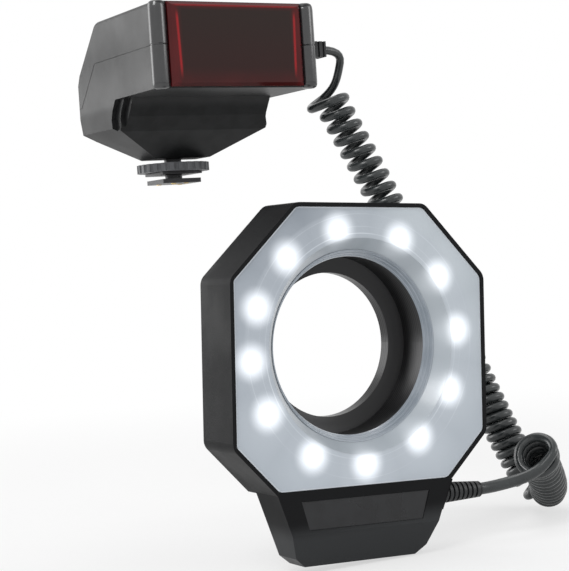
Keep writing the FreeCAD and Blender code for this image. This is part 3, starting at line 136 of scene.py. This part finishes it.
def spline_curve(name, places, swells=None):
    """A smooth curve object with the places as its control points."""
    data = bpy.data.curves.new(name, "CURVE")
    data.dimensions = "3D"
    data.resolution_u = 6
    spline = data.splines.new("NURBS")
    spline.points.add(len(places) - 1)
    for number, place in enumerate(places):
        spline.points[number].co = (*place, 1)
        if swells:
            spline.points[number].radius = swells[number]
    spline.order_u = 3
    spline.use_endpoint_u = True
    return link(bpy.data.objects.new(name, data))


def read_line(places):
    """The smooth line through a route, as points."""
    item = spline_curve("route", places)
    item.data.resolution_u = 60
    bpy.context.view_layer.update()
    mesh = bpy.data.meshes.new_from_object(item)
    line = [vertex.co.copy() for vertex in mesh.vertices]
    bpy.data.objects.remove(item)
    bpy.data.meshes.remove(mesh)
    return line


def walk(line, step):
    """Points a step apart along a line, each with its direction and a side that doesn't twist."""
    places = [line[0]]
    for place in line[1:]:
        while (place - places[-1]).length >= step:
            places.append(places[-1] + (place - places[-1]).normalized() * step)
    side = Vector((0, 1, 0))
    frames = []
    for number, place in enumerate(places):
        way = (places[min(number + 1, len(places) - 1)] - places[max(number - 1, 0)]).normalized()
        side = (side - way * way.dot(side)).normalized()
        frames.append((place, way, side, way.cross(side)))
    return frames


def soft_step(share):
    """0 up to 0, 1 from 1 on, and an even rise between."""
    share = min(max(share, 0.0), 1.0)
    return share * share * (3 - 2 * share)


def curl_places():
    """The control points of the curls.

    The first curl hangs wide, and the last ones open out and come forward.
    """
    frames = walk(read_line(AXIS), AXIS_STEP)
    total = len(frames) - 1
    turns = [0.0]
    for number in range(total):
        pitch = LOOSE + (TIGHT - LOOSE) * soft_step((number / total - TIGHTEN_FROM) / TIGHTEN_OVER)
        low, high = max(number - BEND_REACH, 0), min(number + BEND_REACH, total)
        bend = (high - low) * AXIS_STEP / max(frames[low][1].angle(frames[high][1]), LEAST_ANGLE)
        turns.append(turns[-1] + AXIS_STEP / max(pitch, TIGHT * bend / max(bend - CURL, LEAST_ROOM)))
    # The count of turns at which the last curl runs on into the tail
    side, other = frames[-1][2:]
    exact = (START_ANGLE - math.atan2(-other.z, -side.z) - END_LEAD) / math.tau
    count = exact + round(turns[-1] - exact)
    scale = count / turns[-1]
    # The smooth line runs inside its control points, so they lie a little further out
    widen = 2 / (1 + math.cos(math.pi / PER_TURN))
    wanted = 0.0
    for number, (place, way, side, other) in enumerate(frames):
        turn = turns[number] * scale
        if turn < wanted or turn > count - LAST_GAP:
            continue
        wanted += 1 / PER_TURN
        angle = START_ANGLE - math.tau * turn
        radius = CURL + (END_CURL - CURL) * soft_step((turn - count + END_TURNS) / END_OVER)
        radius = widen * (radius + FIRST_SWELL * soft_step(1 - abs(turn - FIRST_AT) / FIRST_OVER))
        forward = way * (END_PUSH * soft_step((turn - count + PUSH_TURNS) / PUSH_OVER))
        yield place + forward + side * (radius * math.cos(angle)) + other * (radius * math.sin(angle))


def make_cord():
    curls = list(curl_places())
    places = LEAD + curls + TAIL
    swells = [1.0] * len(LEAD) + [CURL_SWELL] * len(curls) + [TAIL_SWELL] * len(TAIL)
    cord = spline_curve("curly_cord", places, swells)
    cord.data.bevel_depth = CORD_RADIUS
    cord.data.bevel_resolution = 5
    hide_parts("cord_lead", "cord_coil", "cord_tail")
    return cord


# Materials

class Finish:
    """A material built from nodes, on object coordinates in metres."""

    def __init__(self, name, color, rough, **shader_inputs):
        self.material = bpy.data.materials.new(name)
        self.material.use_nodes = True
        self.nodes = self.material.node_tree.nodes
        self.links = self.material.node_tree.links
        self.shader = self.nodes["Principled BSDF"]
        self.color, self.rough = color, rough
        self.set("Base Color", (*color, 1))
        self.set("Roughness", rough)
        for socket, value in shader_inputs.items():
            self.set(socket.replace("_", " "), value)
        self.places = self.nodes.new("ShaderNodeTexCoord").outputs["Object"]
        self.height = None

    def set(self, socket, value):
        if hasattr(value, "is_linked"):
            self.links.new(value, self.shader.inputs[socket])
        else:
            self.shader.inputs[socket].default_value = value

    def node(self, kind, values, output=0, **settings):
        made = self.nodes.new("ShaderNode" + kind)
        for name, value in settings.items():
            setattr(made, name, value)
        for socket, value in values.items():
            if hasattr(value, "is_linked"):
                self.links.new(value, made.inputs[socket])
            else:
                made.inputs[socket].default_value = value
        return made.outputs[output]

    def parts(self, places=None):
        """The X, Y and Z of a place."""
        made = self.nodes.new("ShaderNodeSeparateXYZ")
        self.links.new(places or self.places, made.inputs[0])
        return list(made.outputs)

    def math(self, operation, *values):
        return self.node("Math", dict(enumerate(values)), operation=operation)

    def distance(self, place, plane):
        """Distance from a place, seen square to a plane."""
        flat = self.node("VectorMath", {0: self.places, 1: place}, operation="SUBTRACT")
        flat = self.node("VectorMath", {0: flat, 1: plane}, operation="MULTIPLY")
        return self.node("VectorMath", {0: flat}, output="Value", operation="LENGTH")

    def noise(self, scale, detail=2.0, stretch=None):
        places = self.places
        if stretch:
            places = self.node("Mapping", {"Vector": places, "Scale": stretch})
        return self.node("TexNoise", {"Vector": places, "Scale": scale, "Detail": detail})

    def ramp(self, value, low, high, out_low, out_high, smooth=True):
        return self.node("MapRange", {"Value": value, "From Min": low, "From Max": high, "To Min": out_low,
                                      "To Max": out_high},
                         interpolation_type="SMOOTHSTEP" if smooth else "LINEAR")

    def blend(self, share, one, two):
        """Two colours mixed by a share."""
        made = self.nodes.new("ShaderNodeMix")
        made.data_type = "RGBA"
        for socket, value in ((made.inputs["Factor"], share), (made.inputs[6], one), (made.inputs[7], two)):
            if hasattr(value, "is_linked"):
                self.links.new(value, socket)
            else:
                socket.default_value = value if isinstance(value, float) else (*value[:3], 1)
        return made.outputs[2]

    def raise_by(self, height, depth):
        """Bump from a height between 0 and 1, depth in metres, on top of any bump before."""
        values = {"Height": height, "Distance": depth, "Strength": 1.0}
        if self.height:
            values["Normal"] = self.height
        self.height = self.node("Bump", values)
        self.set("Normal", self.height)
        return self

    def moulded(self, grain=2600, depth=0.00004, spread=0.2, mottle=0.15):
        """Fine moulded grain, with a roughness and a tone that drift a little."""
        drift = self.noise(45, 3)
        self.set("Roughness", self.ramp(drift, 0.3, 0.7, self.rough * (1 - spread),
                                        self.rough * (1 + spread)))
        tone = self.noise(150, 2)
        shades = [tuple(value * (1 + sign * mottle) for value in self.color) for sign in (-1, 1)]
        self.set("Base Color", self.blend(self.ramp(tone, 0.35, 0.65, 0, 1), *shades))
        return self.raise_by(self.noise(grain, 2), depth)


def set_finish(finish, *nodes):
    for node in nodes:
        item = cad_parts[node]
        item.data.materials.clear()
        item.data.materials.append(finish.material)


FACE_PLANE, FLOOR_PLANE = (1, 0, 1), (1, 1, 0)
LAMPS = ["led_%02d" % number for number in range(1, 13)]
LAMP_LIGHT = (0.93, 0.96, 1.0, 1)
SPOT_SQUEEZE = 0.036
SPOT_SHIFT = point(-2.4, 0, 0)
SPOT_CORE, SPOT_EDGE, SPOT_STRENGTH = 0.6 * MM, 8.8 * MM, 0.9
HALO_CORE, HALO_EDGE, HALO_STRENGTH = 4 * MM, 22 * MM, 0.08
DIFFUSER_HALF_WIDE, DIFFUSER_HALF_TALL = 53.8 * MM, 51.0 * MM
DIFFUSER_TOP_SLANT, DIFFUSER_LOW_SLANT = 55.5 * MM, 62.0 * MM
GRADIENT_HALF = 48 * MM
# Painted highlights on the diffuser's moulded ring steps: radius and width in millimetres, and strength
RING_HIGHLIGHTS = ((41.4, 0.35, 0.55), (43.9, 0.25, 0.25), (48.6, 0.3, 0.3))
SHELL_PARTING = 52 * MM


def lamp_glow(finish, core, edge):
    """How strongly the lamps' painted glow shows at each place: 1 over a lamp, 0 beyond its edge.

    The diffuser lies in front of the lamps. Its spots lie a little to the left of them and, in height,
    nearer to the lens axis.
    """
    total = 0.0
    for lamp in LAMPS:
        low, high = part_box(lamp)
        middle = (Vector(low) + Vector(high)) / 2 + SPOT_SHIFT
        middle.z += (head_point(0, 0, 0).z - middle.z) * SPOT_SQUEEZE
        away = finish.distance(middle, FACE_PLANE)
        total = finish.math("MAXIMUM", total, finish.ramp(away, edge, core, 0, 1))
    return total


def head_edge(finish):
    """Distance in from the diffuser's octagonal edge."""
    flat = finish.node("VectorMath", {0: finish.places, 1: head_point(0, 0, 0)}, operation="SUBTRACT")
    flat = finish.node("VectorRotate", {"Vector": flat, "Angle": -HEAD_TURN}, rotation_type="Y_AXIS")
    across, _, up = finish.parts(flat)
    wide, tall = finish.math("ABSOLUTE", across), finish.math("ABSOLUTE", up)
    slant = finish.math("MULTIPLY", finish.math("ADD", wide, tall), math.sqrt(0.5))
    reach = finish.ramp(up, -1 * MM, 1 * MM, DIFFUSER_LOW_SLANT, DIFFUSER_TOP_SLANT)
    edge = finish.math("MINIMUM", finish.math("SUBTRACT", DIFFUSER_HALF_WIDE, wide),
                       finish.math("SUBTRACT", DIFFUSER_HALF_TALL, tall))
    return finish.math("MINIMUM", edge, finish.math("SUBTRACT", reach, slant))


def diffuser_finish():
    """Frosted, with painted shade towards the upper left, painted highlights along moulded rings and its
    edge, and the lamps' painted glow.
    """
    finish = Finish("frosted_diffuser", (0.37, 0.41, 0.465), 0.32, Coat_Weight=0.25, Coat_Roughness=0.12)
    away = finish.distance(head_point(0, 0, 0), FACE_PLANE)
    cloud = finish.ramp(finish.noise(28, 2), 0.3, 0.7, 0, 1)
    height = finish.parts()[2]
    middle = head_point(0, 0, 0).z
    # Painted shade darkens it towards the top, and painted light lightens the top towards the right
    rise = finish.ramp(height, middle - GRADIENT_HALF, middle + GRADIENT_HALF, 0, 1, smooth=False)
    light = finish.blend(cloud, (0.43, 0.48, 0.535), (0.475, 0.525, 0.58))
    base = finish.blend(rise, light, (0.255, 0.29, 0.335))
    right = finish.ramp(finish.parts()[0], -27 * MM, 43 * MM, 0, 0.7)
    base = finish.blend(finish.math("MULTIPLY", right, rise), base, (0.62, 0.68, 0.72))
    tray = finish.ramp(away, 49.2 * MM, 50.6 * MM, 1, 0)
    base = finish.blend(finish.math("MULTIPLY", tray, 0.4), base, (0.44, 0.485, 0.54))
    throat = finish.ramp(away, 40.6 * MM, 39.4 * MM, 0, 1)
    base = finish.blend(finish.math("MULTIPLY", throat, 0.55), base, (0.33, 0.37, 0.40))
    # Thin painted highlights along the moulded ring steps, broken into patches
    for radius, wide, strength in RING_HIGHLIGHTS:
        off = finish.math("ABSOLUTE", finish.math("SUBTRACT", away, radius * MM))
        line = finish.ramp(off, 0, wide * MM, strength, 0)
        highlight_patches = finish.ramp(finish.noise(40, 2), 0.4, 0.6, 0.3, 1)
        base = finish.blend(finish.math("MULTIPLY", line, highlight_patches), base, (0.72, 0.77, 0.82))
    # A painted highlight along the diffuser's octagonal edge
    rim_highlight = finish.ramp(head_edge(finish), 0.1 * MM, 0.75 * MM, 0.7, 0)
    base = finish.blend(rim_highlight, base, (0.74, 0.79, 0.84))
    finish.set("Base Color", base)
    # The lamps' painted glow: emission on the diffuser, weaker towards its mouth, with a faint halo
    inside = finish.ramp(away, 37.6 * MM, 41.4 * MM, 0.25, 1)
    spots = finish.math("MULTIPLY", lamp_glow(finish, SPOT_CORE, SPOT_EDGE), inside)
    halo = lamp_glow(finish, HALO_CORE, HALO_EDGE)
    light = finish.math("ADD", finish.math("MULTIPLY", spots, SPOT_STRENGTH),
                        finish.math("MULTIPLY", halo, HALO_STRENGTH))
    finish.set("Emission Color", LAMP_LIGHT)
    finish.set("Emission Strength", light)
    return finish.raise_by(finish.noise(900, 2), 0.00003)


def window_finish():
    """Deep red, nearly black in the middle, with painted light where its edges catch it: a redder band and
    bright lines.
    """
    finish = Finish("red_window", (0.03, 0.01, 0.01), 0.07, Specular_IOR_Level=0.18, Coat_Weight=0.08,
                    Coat_Roughness=0.03)
    across, _, up = finish.parts()
    low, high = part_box("front_window")
    half_wide = (high[0] - low[0]) / 2
    from_side = finish.math("SUBTRACT", half_wide, finish.math("ABSOLUTE", across))
    from_top = finish.math("SUBTRACT", high[2], up)
    from_foot = finish.math("SUBTRACT", up, low[2])
    cloud = finish.ramp(finish.noise(60, 2), 0.3, 0.7, 0, 1)
    dark = finish.blend(finish.ramp(up, low[2], high[2], 0, 1), (0.030, 0.009, 0.008),
                        (0.024, 0.013, 0.011))
    red = finish.blend(cloud, (0.072, 0.006, 0.007), (0.100, 0.008, 0.009))
    # Painted light: a redder band where the edges catch the light, around the dark middle
    near_side = finish.ramp(from_side, 2.4 * MM, 6.0 * MM, 1, 0)
    near_foot = finish.ramp(from_foot, 0.5 * MM, 8.5 * MM, 0.5, 0)
    near_top = finish.ramp(from_top, 1.0 * MM, 3.6 * MM, 0.9, 0)
    edge_light = finish.math("MAXIMUM", finish.math("MAXIMUM", near_side, near_foot), near_top)
    base = finish.blend(edge_light, dark, red)
    # A painted highlight streak a little in from each side, leaning slightly with height
    lean = finish.ramp(up, low[2], high[2], -0.5 * MM, 0.5 * MM, smooth=False)
    place = finish.math("ADD", finish.math("ADD", from_side, lean), -3.9 * MM)
    streak_highlight = finish.ramp(finish.math("ABSOLUTE", place), 0.1 * MM, 0.85 * MM, 1, 0)
    ends = finish.math("MULTIPLY", finish.ramp(from_top, 3 * MM, 7 * MM, 0, 1),
                       finish.ramp(from_foot, 2 * MM, 9 * MM, 0, 1))
    base = finish.blend(finish.math("MULTIPLY", streak_highlight, ends), base, (0.34, 0.014, 0.017))
    # A painted highlight line just under the top edge
    off_brow = finish.math("ABSOLUTE", finish.math("ADD", from_top, -1.5 * MM))
    brow_highlight = finish.ramp(off_brow, 0.1 * MM, 0.6 * MM, 0.85, 0)
    base = finish.blend(finish.math("MULTIPLY", brow_highlight, finish.ramp(from_side, 1 * MM, 4 * MM, 0, 1)), base,
                        (0.25, 0.012, 0.014))
    finish.set("Base Color", base)
    return finish.raise_by(finish.noise(35, 1), 0.0002)


def board_finish():
    finish = Finish("green_board", (0.01, 0.07, 0.03), 0.35, Coat_Weight=0.3)
    lines = finish.node("TexBrick", {"Vector": finish.places, "Scale": 120.0, "Color1": (0.01, 0.07, 0.03, 1),
                                     "Color2": (0.012, 0.085, 0.035, 1), "Mortar": (0.03, 0.16, 0.07, 1),
                                     "Mortar Size": 0.03})
    finish.set("Base Color", lines)
    return finish.raise_by(finish.noise(1500, 2), 0.00003)


def knurled(finish):
    """Fine turned lines round the shoe's axis."""
    values = {"Vector": finish.places, "Scale": 420.0, "Distortion": 0.4, "Detail": 1.0}
    rings = finish.node("TexWave", values, wave_type="RINGS", rings_direction="Z")
    return finish.raise_by(rings, 0.00002)


def cell_finish():
    """A shrink sleeve with a lighter band round the positive end."""
    finish = Finish("cell_sleeve", (0.03, 0.045, 0.12), 0.25, Coat_Weight=0.5)
    band = finish.ramp(finish.parts()[0], 14 * MM, 14.5 * MM, 0, 1)
    finish.set("Base Color", finish.blend(band, (0.03, 0.045, 0.12), (0.45, 0.33, 0.16)))
    return finish.raise_by(finish.noise(300, 2), 0.00005)


def shell_finish():
    """Moulded black, its sheen lowered to paint shade: less where the shells part and the least on the neck.
    """
    finish = Finish("black_plastic", (0.011, 0.0115, 0.012), 0.42).moulded(spread=0.08, mottle=0.2)
    height = finish.parts()[2]
    from_parting = finish.math("ABSOLUTE", finish.math("SUBTRACT", height, SHELL_PARTING))
    # Painted shade: the sheen dips at the shells' parting and is least on the neck
    parting_shade_sheen = finish.ramp(from_parting, 0, 15 * MM, 0.25, 0.38)
    neck_shade_sheen = finish.ramp(height, 30 * MM, 36 * MM, 0.2, 0.5)
    finish.set("Specular IOR Level", finish.math("MINIMUM", parting_shade_sheen, neck_shade_sheen))
    return finish


def make_finishes():
    set_finish(shell_finish(), "unit_upper_shell", "unit_lower_shell", "battery_door")
    head = Finish("head_plastic", (0.012, 0.0122, 0.013), 0.38, Specular_IOR_Level=0.06)
    head.moulded(2200, 0.00004)
    # Painted light: the lower face of the chin is lighter
    chin_light = head.ramp(head.parts()[2], -130 * MM, -138 * MM, 0, 1)
    head.set("Base Color", head.blend(chin_light, (0.0105, 0.0108, 0.0115), (0.044, 0.046, 0.048)))
    set_finish(head, "ring_front_shell", "ring_rear_shell")
    plate = Finish("bare_plate", (0.012, 0.0125, 0.014), 0.3, Specular_IOR_Level=0.4)
    set_finish(plate.moulded(3200, 0.00001), "chin_plate")
    panel = Finish("panel_film", (0.017, 0.018, 0.02), 0.3, Specular_IOR_Level=0.4)
    set_finish(panel.moulded(3000, 0.00001), "control_panel")
    set_finish(window_finish(), "front_window")
    set_finish(diffuser_finish(), "diffuser")
    lit = Finish("lamp_dome", (0.95, 0.95, 0.92), 0.3, Emission_Color=LAMP_LIGHT)
    lit.set("Emission Strength", lit.ramp(lit.noise(400, 1), 0.3, 0.7, 1.6, 2.0))
    set_finish(lit, *LAMPS)
    set_finish(Finish("tray_white", (0.72, 0.74, 0.75), 0.35).moulded(1500, 0.00002), "reflector_tray")
    set_finish(board_finish(), "lamp_board", "panel_board", "main_board", "led_board", "driver_board")
    clear = Finish("lamp_lens", (0.75, 0.45, 0.42), 0.06, Transmission_Weight=0.5, Coat_Weight=0.6)
    set_finish(clear.raise_by(clear.noise(500, 1), 0.00005), "focus_lamp_left", "focus_lamp_right")
    set_finish(Finish("holder_plastic", (0.03, 0.03, 0.033), 0.5).moulded(), "battery_holder")
    set_finish(cell_finish(), *["battery_cell_%d" % number for number in range(1, 5)])
    steel = Finish("spring_steel", (0.6, 0.6, 0.58), 0.28, Metallic=1.0)
    steel.raise_by(steel.noise(300, 3, (1, 14, 1)), 0.00003)
    set_finish(steel, "bay_contacts", "door_hinge_pin", "door_contacts")
    set_finish(Finish("button_rubber", (0.20, 0.205, 0.22), 0.55, Sheen_Weight=0.3).moulded(1800, 0.00003),
               "test_button", "mode_button", "level_button")
    set_finish(Finish("switch_plastic", (0.33, 0.33, 0.35), 0.4).moulded(2200, 0.00002), "power_switch")
    pilot = Finish("pilot_lens", (0.45, 0.08, 0.03), 0.12, Transmission_Weight=0.3, Coat_Weight=0.5)
    set_finish(pilot.raise_by(pilot.noise(700, 1), 0.00003), "pilot_lamps")
    set_finish(Finish("capacitor_sleeve", (0.02, 0.025, 0.05), 0.3, Coat_Weight=0.4).moulded(900, 0.00003),
               "storage_capacitor")
    metal = Finish("foot_metal", (0.03, 0.03, 0.032), 0.33, Metallic=0.6, Specular_IOR_Level=0.5)
    set_finish(knurled(metal), "shoe_foot", "lock_plate")
    wheel = Finish("wheel_black", (0.125, 0.128, 0.136), 0.5, Specular_IOR_Level=0.35)
    set_finish(knurled(wheel.moulded(2400, 0.00003)), "lock_wheel")
    gold = Finish("contact_gold", (0.82, 0.6, 0.25), 0.2, Metallic=1.0)
    set_finish(gold.raise_by(gold.noise(1200, 2), 0.00002), "shoe_contacts")
    relief = Finish("relief_rubber", (0.017, 0.018, 0.019), 0.5, Specular_IOR_Level=0.4)
    set_finish(relief.moulded(1600, 0.00006), "unit_cord_gland", "ring_cord_relief")
    adapter = Finish("adapter_black", (0.02, 0.02, 0.021), 0.3, Metallic=0.5, Specular_IOR_Level=0.5)
    lines = adapter.node("TexWave", {"Vector": adapter.places, "Scale": 260.0, "Detail": 0.0},
                         bands_direction="Y")
    set_finish(adapter.raise_by(lines, 0.00003), "adapter_ring")
    latch = Finish("latch_plastic", (0.05, 0.05, 0.053), 0.5)
    set_finish(latch.moulded(1500, 0.00006), "latch_left", "latch_right")


def cord_finish():
    """Smooth rubber with a soft sheen and small marks."""
    finish = Finish("cord_rubber", (0.026, 0.030, 0.031), 0.25, Specular_IOR_Level=0.55)
    finish.set("Roughness", finish.ramp(finish.noise(120, 3), 0.3, 0.7, 0.18, 0.32))
    tone = finish.ramp(finish.noise(90, 2), 0.35, 0.65, 0, 1)
    finish.set("Base Color", finish.blend(tone, (0.021, 0.025, 0.026), (0.031, 0.036, 0.037)))
    return finish.raise_by(finish.noise(1300, 2), 0.00005)


# Small trim. Its sizes and outlines are in millimetres

def lathe(name, rings, place, segments=24, ring=False):
    """A turned piece: each ring is (radius, height) in millimetres; radius may be a function of the angle.

    It is closed by a face at each end or, with ring, by joining the last outline point to the first.
    """
    mesh = bmesh.new()
    loops = []
    for radius, height in rings:
        loop = []
        for number in range(segments):
            angle = math.tau * number / segments
            wide = radius(angle) if callable(radius) else radius
            loop.append(mesh.verts.new(place @ point(wide * math.cos(angle), wide * math.sin(angle), height)))
        loops.append(loop)
    for one, two in zip(loops, loops[1:] + loops[:1] if ring else loops[1:]):
        for number in range(segments):
            after = (number + 1) % segments
            mesh.faces.new((one[number], one[after], two[after], two[number]))
    if not ring:
        mesh.faces.new(loops[-1])
        mesh.faces.new(list(reversed(loops[0])))
    bmesh.ops.recalc_face_normals(mesh, faces=mesh.faces)
    data = bpy.data.meshes.new(name)
    mesh.to_mesh(data)
    mesh.free()
    data.shade_smooth()
    data.set_sharp_from_angle(angle=math.radians(32))
    return link(bpy.data.objects.new(name, data))


def hexagon(size):
    """The radius of a hexagon's edge at an angle, size across its flats."""
    return lambda angle: size / 2 / math.cos((angle + math.pi / 6) % (math.pi / 3) - math.pi / 6)


SCREW_OUTLINE = [(2.2, -0.25), (2.2, 0.0), (2.134, 0.16), (1.804, 0.34), (1.32, 0.42),
                 (hexagon(1.87), 0.42), (hexagon(1.76), -0.2)]


def make_screw(name, place):
    """A low domed screw head with a hexagon socket, seated on the surface at its place."""
    screw = lathe(name, SCREW_OUTLINE, place)
    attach(screw, "light")
    return screw


def make_text(name, words, place, finish):
    """Printed words a hair proud of the surface."""
    data = bpy.data.curves.new(name, "FONT")
    data.body = words
    data.size = WORD_SIZE * MM
    data.align_x = "CENTER"
    data.align_y = "CENTER"
    data.extrude = WORD_THICK * MM
    data.materials.append(finish.material)
    item = link(bpy.data.objects.new(name, data))
    item.matrix_world = place
    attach(item, "light")
    return item


def make_seam(name, places, finish):
    """The dark line where two mouldings meet, as a thin tube through the places."""
    data = bpy.data.curves.new(name, "CURVE")
    data.dimensions = "3D"
    data.bevel_depth = SEAM_RADIUS * MM
    data.bevel_resolution = 1
    spline = data.splines.new("POLY")
    spline.points.add(len(places) - 1)
    for number, place in enumerate(places):
        spline.points[number].co = (*place, 1)
    data.materials.append(finish.material)
    item = link(bpy.data.objects.new(name, data))
    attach(item, "light")
    return item


POST_ACROSS, POST_BACK, POST_SEGMENTS = 34.5, -63.4, 48
POST_OUTLINE = [(0.8, 34.5), (2.2, 34.6), (3.1, 35.1), (3.5, 36.0), (3.6, 37.4), (3.6, 52.1), (3.4, 52.35),
                (3.4, 52.6), (3.6, 52.85), (3.6, 67.2), (3.45, 68.6), (3.0, 69.6), (2.1, 70.15), (0.8, 70.3)]


def make_post(name, across, finish):
    """The glossy rounded post down a front corner of the unit, parted where the shells meet."""
    post = lathe(name, POST_OUTLINE, Matrix.Translation(point(across, POST_BACK, 0)), POST_SEGMENTS)
    post.data.materials.append(finish.material)
    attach(post, "light")
    return post


THROAT_OUTLINE = [(35.65, 6.0), (35.3, 6.65), (35.0, 6.7), (34.55, 7.7), (34.25, 7.75), (33.75, 8.9),
                  (33.45, 8.95), (33.15, 9.7), (33.5, 9.9), (34.6, 8.9), (35.25, 7.4), (35.25, 6.3)]


def make_throat():
    """The stepped clear ring behind the diffuser's mouth, in front of the adapter."""
    place = HEAD @ Matrix.Rotation(-math.pi / 2, 4, "X")
    throat = lathe("throat_ring", THROAT_OUTLINE, place, 128, ring=True)
    frost = Finish("throat_frost", (0.33, 0.37, 0.415), 0.22, Coat_Weight=0.5, Coat_Roughness=0.08)
    frost.set("Base Color", frost.blend(frost.ramp(frost.noise(60, 2), 0.35, 0.65, 0, 1), (0.29, 0.33, 0.375),
                                        (0.37, 0.41, 0.46)))
    throat.data.materials.append(frost.raise_by(frost.noise(500, 2), 0.00004).material)
    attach(throat, "light")
    return throat


# The middle of the control panel: X across, Y down the rear slope, Z out of it
SLOPE = Matrix.Translation(point(0, 0.4, 59.6)) @ Matrix.Rotation(-math.pi / 4, 4, "X")
WORDS = (("OFF", 14.0), ("ON", 24.0))
WORD_ROW, WORD_PROUD, WORD_THICK, WORD_SIZE = 5.2, 0.02, 0.02, 2.4
SEAM_ACROSS, SEAM_RADIUS = 37.26, 0.16
SEAM_RUN = ((-61, 52.5), (-6, 52.5), (10.5, 35), (12.95, 35))
SCREW_CIRCLE, SCREW_START, SCREW_COUNT, HEAD_DEPTH = 44.9, 45, 4, 24


def make_trim():
    dark = Finish("seam_dark", (0.003, 0.003, 0.003), 0.6).moulded(2000, 0.00002)
    ink = Finish("white_ink", (0.62, 0.63, 0.64), 0.5).moulded(2600, 0.00001)
    for name, across in (("unit_seam_left", -SEAM_ACROSS), ("unit_seam_right", SEAM_ACROSS)):
        make_seam(name, [point(across, back, height) for back, height in SEAM_RUN], dark)
    screw_steel = Finish("screw_black", (0.05, 0.05, 0.052), 0.35, Metallic=0.7)
    screw_steel.raise_by(screw_steel.noise(900, 2), 0.00002)
    for number in range(SCREW_COUNT):
        angle = math.radians(SCREW_START + 360 / SCREW_COUNT * number)
        seat = point(SCREW_CIRCLE * math.cos(angle), HEAD_DEPTH, SCREW_CIRCLE * math.sin(angle))
        place = HEAD @ Matrix.Translation(seat) @ Matrix.Rotation(-math.pi / 2, 4, "X")
        screw = make_screw("head_screw_%d" % (number + 1), place)
        screw.data.materials.append(screw_steel.material)
    for words, across in WORDS:
        place = SLOPE @ Matrix.Translation(point(across, WORD_ROW, WORD_PROUD))
        place = place @ Matrix.Rotation(math.pi, 4, "Z")
        make_text("switch_word_%s" % words.lower(), words, place, ink)
    gloss = Finish("post_black", (0.018, 0.0185, 0.02), 0.2, Specular_IOR_Level=0.85).moulded(2600, 0.00001)
    make_post("corner_post_left", -POST_ACROSS, gloss)
    make_post("corner_post_right", POST_ACROSS, gloss)
    make_throat()


# Studio

LIGHTS = [("key", (-0.9, -0.7, 1.0), 0.6, 9.0), ("fill", (1.0, -0.9, 0.5), 0.6, 3.5),
          ("top", (0.1, 0.3, 1.3), 0.9, 5.0), ("back", (-1.1, 1.3, 0.35), 1.1, 10.5)]
LIGHT_AIM = point(20, -90, -40)
FLOOR_HALF = 6
FLOOR_DROP = 0.5 * MM
FADE_FROM, FADE_TO = 0.18, 0.6
WORLD_LIGHT = 0.45


def make_floor():
    """A pale floor that fades to white away from the part."""
    floor_mesh = bmesh.new()
    bmesh.ops.create_grid(floor_mesh, x_segments=2, y_segments=2, size=FLOOR_HALF)
    data = bpy.data.meshes.new("floor")
    floor_mesh.to_mesh(data)
    floor_mesh.free()
    floor = link(bpy.data.objects.new("floor", data))
    floor.location = (0, 0, cad_box[0][2] - FLOOR_DROP)
    finish = Finish("pale_floor", (0.86, 0.86, 0.86), 0.9)
    finish.raise_by(finish.noise(300, 2), 0.0001)
    path = finish.nodes.new("ShaderNodeLightPath")
    seen = finish.math("MAXIMUM", path.outputs["Is Camera Ray"], path.outputs["Is Transmission Ray"])
    shiny = finish.math("MULTIPLY", path.outputs["Is Glossy Ray"], 0.3)
    away = finish.distance((0, 0, 0), FLOOR_PLANE)
    share = finish.math("MULTIPLY", seen, finish.ramp(away, FADE_FROM, FADE_TO, 0.6, 1.0))
    white = finish.nodes.new("ShaderNodeEmission")
    both = finish.nodes.new("ShaderNodeMixShader")
    finish.links.new(finish.math("MAXIMUM", share, shiny), both.inputs["Fac"])
    finish.links.new(finish.shader.outputs["BSDF"], both.inputs[1])
    finish.links.new(white.outputs["Emission"], both.inputs[2])
    finish.links.new(both.outputs["Shader"], finish.nodes["Material Output"].inputs["Surface"])
    data.materials.append(finish.material)


def make_world():
    """A white world, full where it is seen, mirrored or seen through, and weaker as a light."""
    world = bpy.data.worlds.new("studio")
    scene.world = world
    world.use_nodes = True
    nodes, links = world.node_tree.nodes, world.node_tree.links
    path = nodes.new("ShaderNodeLightPath")
    seen = path.outputs["Is Camera Ray"]
    for ray in ("Is Glossy Ray", "Is Transmission Ray"):
        either = nodes.new("ShaderNodeMath")
        either.operation = "MAXIMUM"
        links.new(seen, either.inputs[0])
        links.new(path.outputs[ray], either.inputs[1])
        seen = either.outputs[0]
    level = nodes.new("ShaderNodeMapRange")
    level.inputs["To Min"].default_value = WORLD_LIGHT
    level.inputs["To Max"].default_value = 1.0
    links.new(seen, level.inputs["Value"])
    back = nodes["Background"]
    back.inputs["Color"].default_value = (1, 1, 1, 1)
    links.new(level.outputs[0], back.inputs["Strength"])


def make_lights():
    for name, place, size, power in LIGHTS:
        data = bpy.data.lights.new(name, "AREA")
        data.size = size
        data.energy = power
        item = link(bpy.data.objects.new(name, data))
        item.location = place
        aim = LIGHT_AIM - Vector(place)
        item.rotation_euler = aim.to_track_quat("-Z", "Y").to_euler()


make_camera()
cord = make_cord()
cord.data.materials.append(cord_finish().material)
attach(cord, "light")
make_finishes()
make_trim()
make_floor()
make_world()
make_lights()
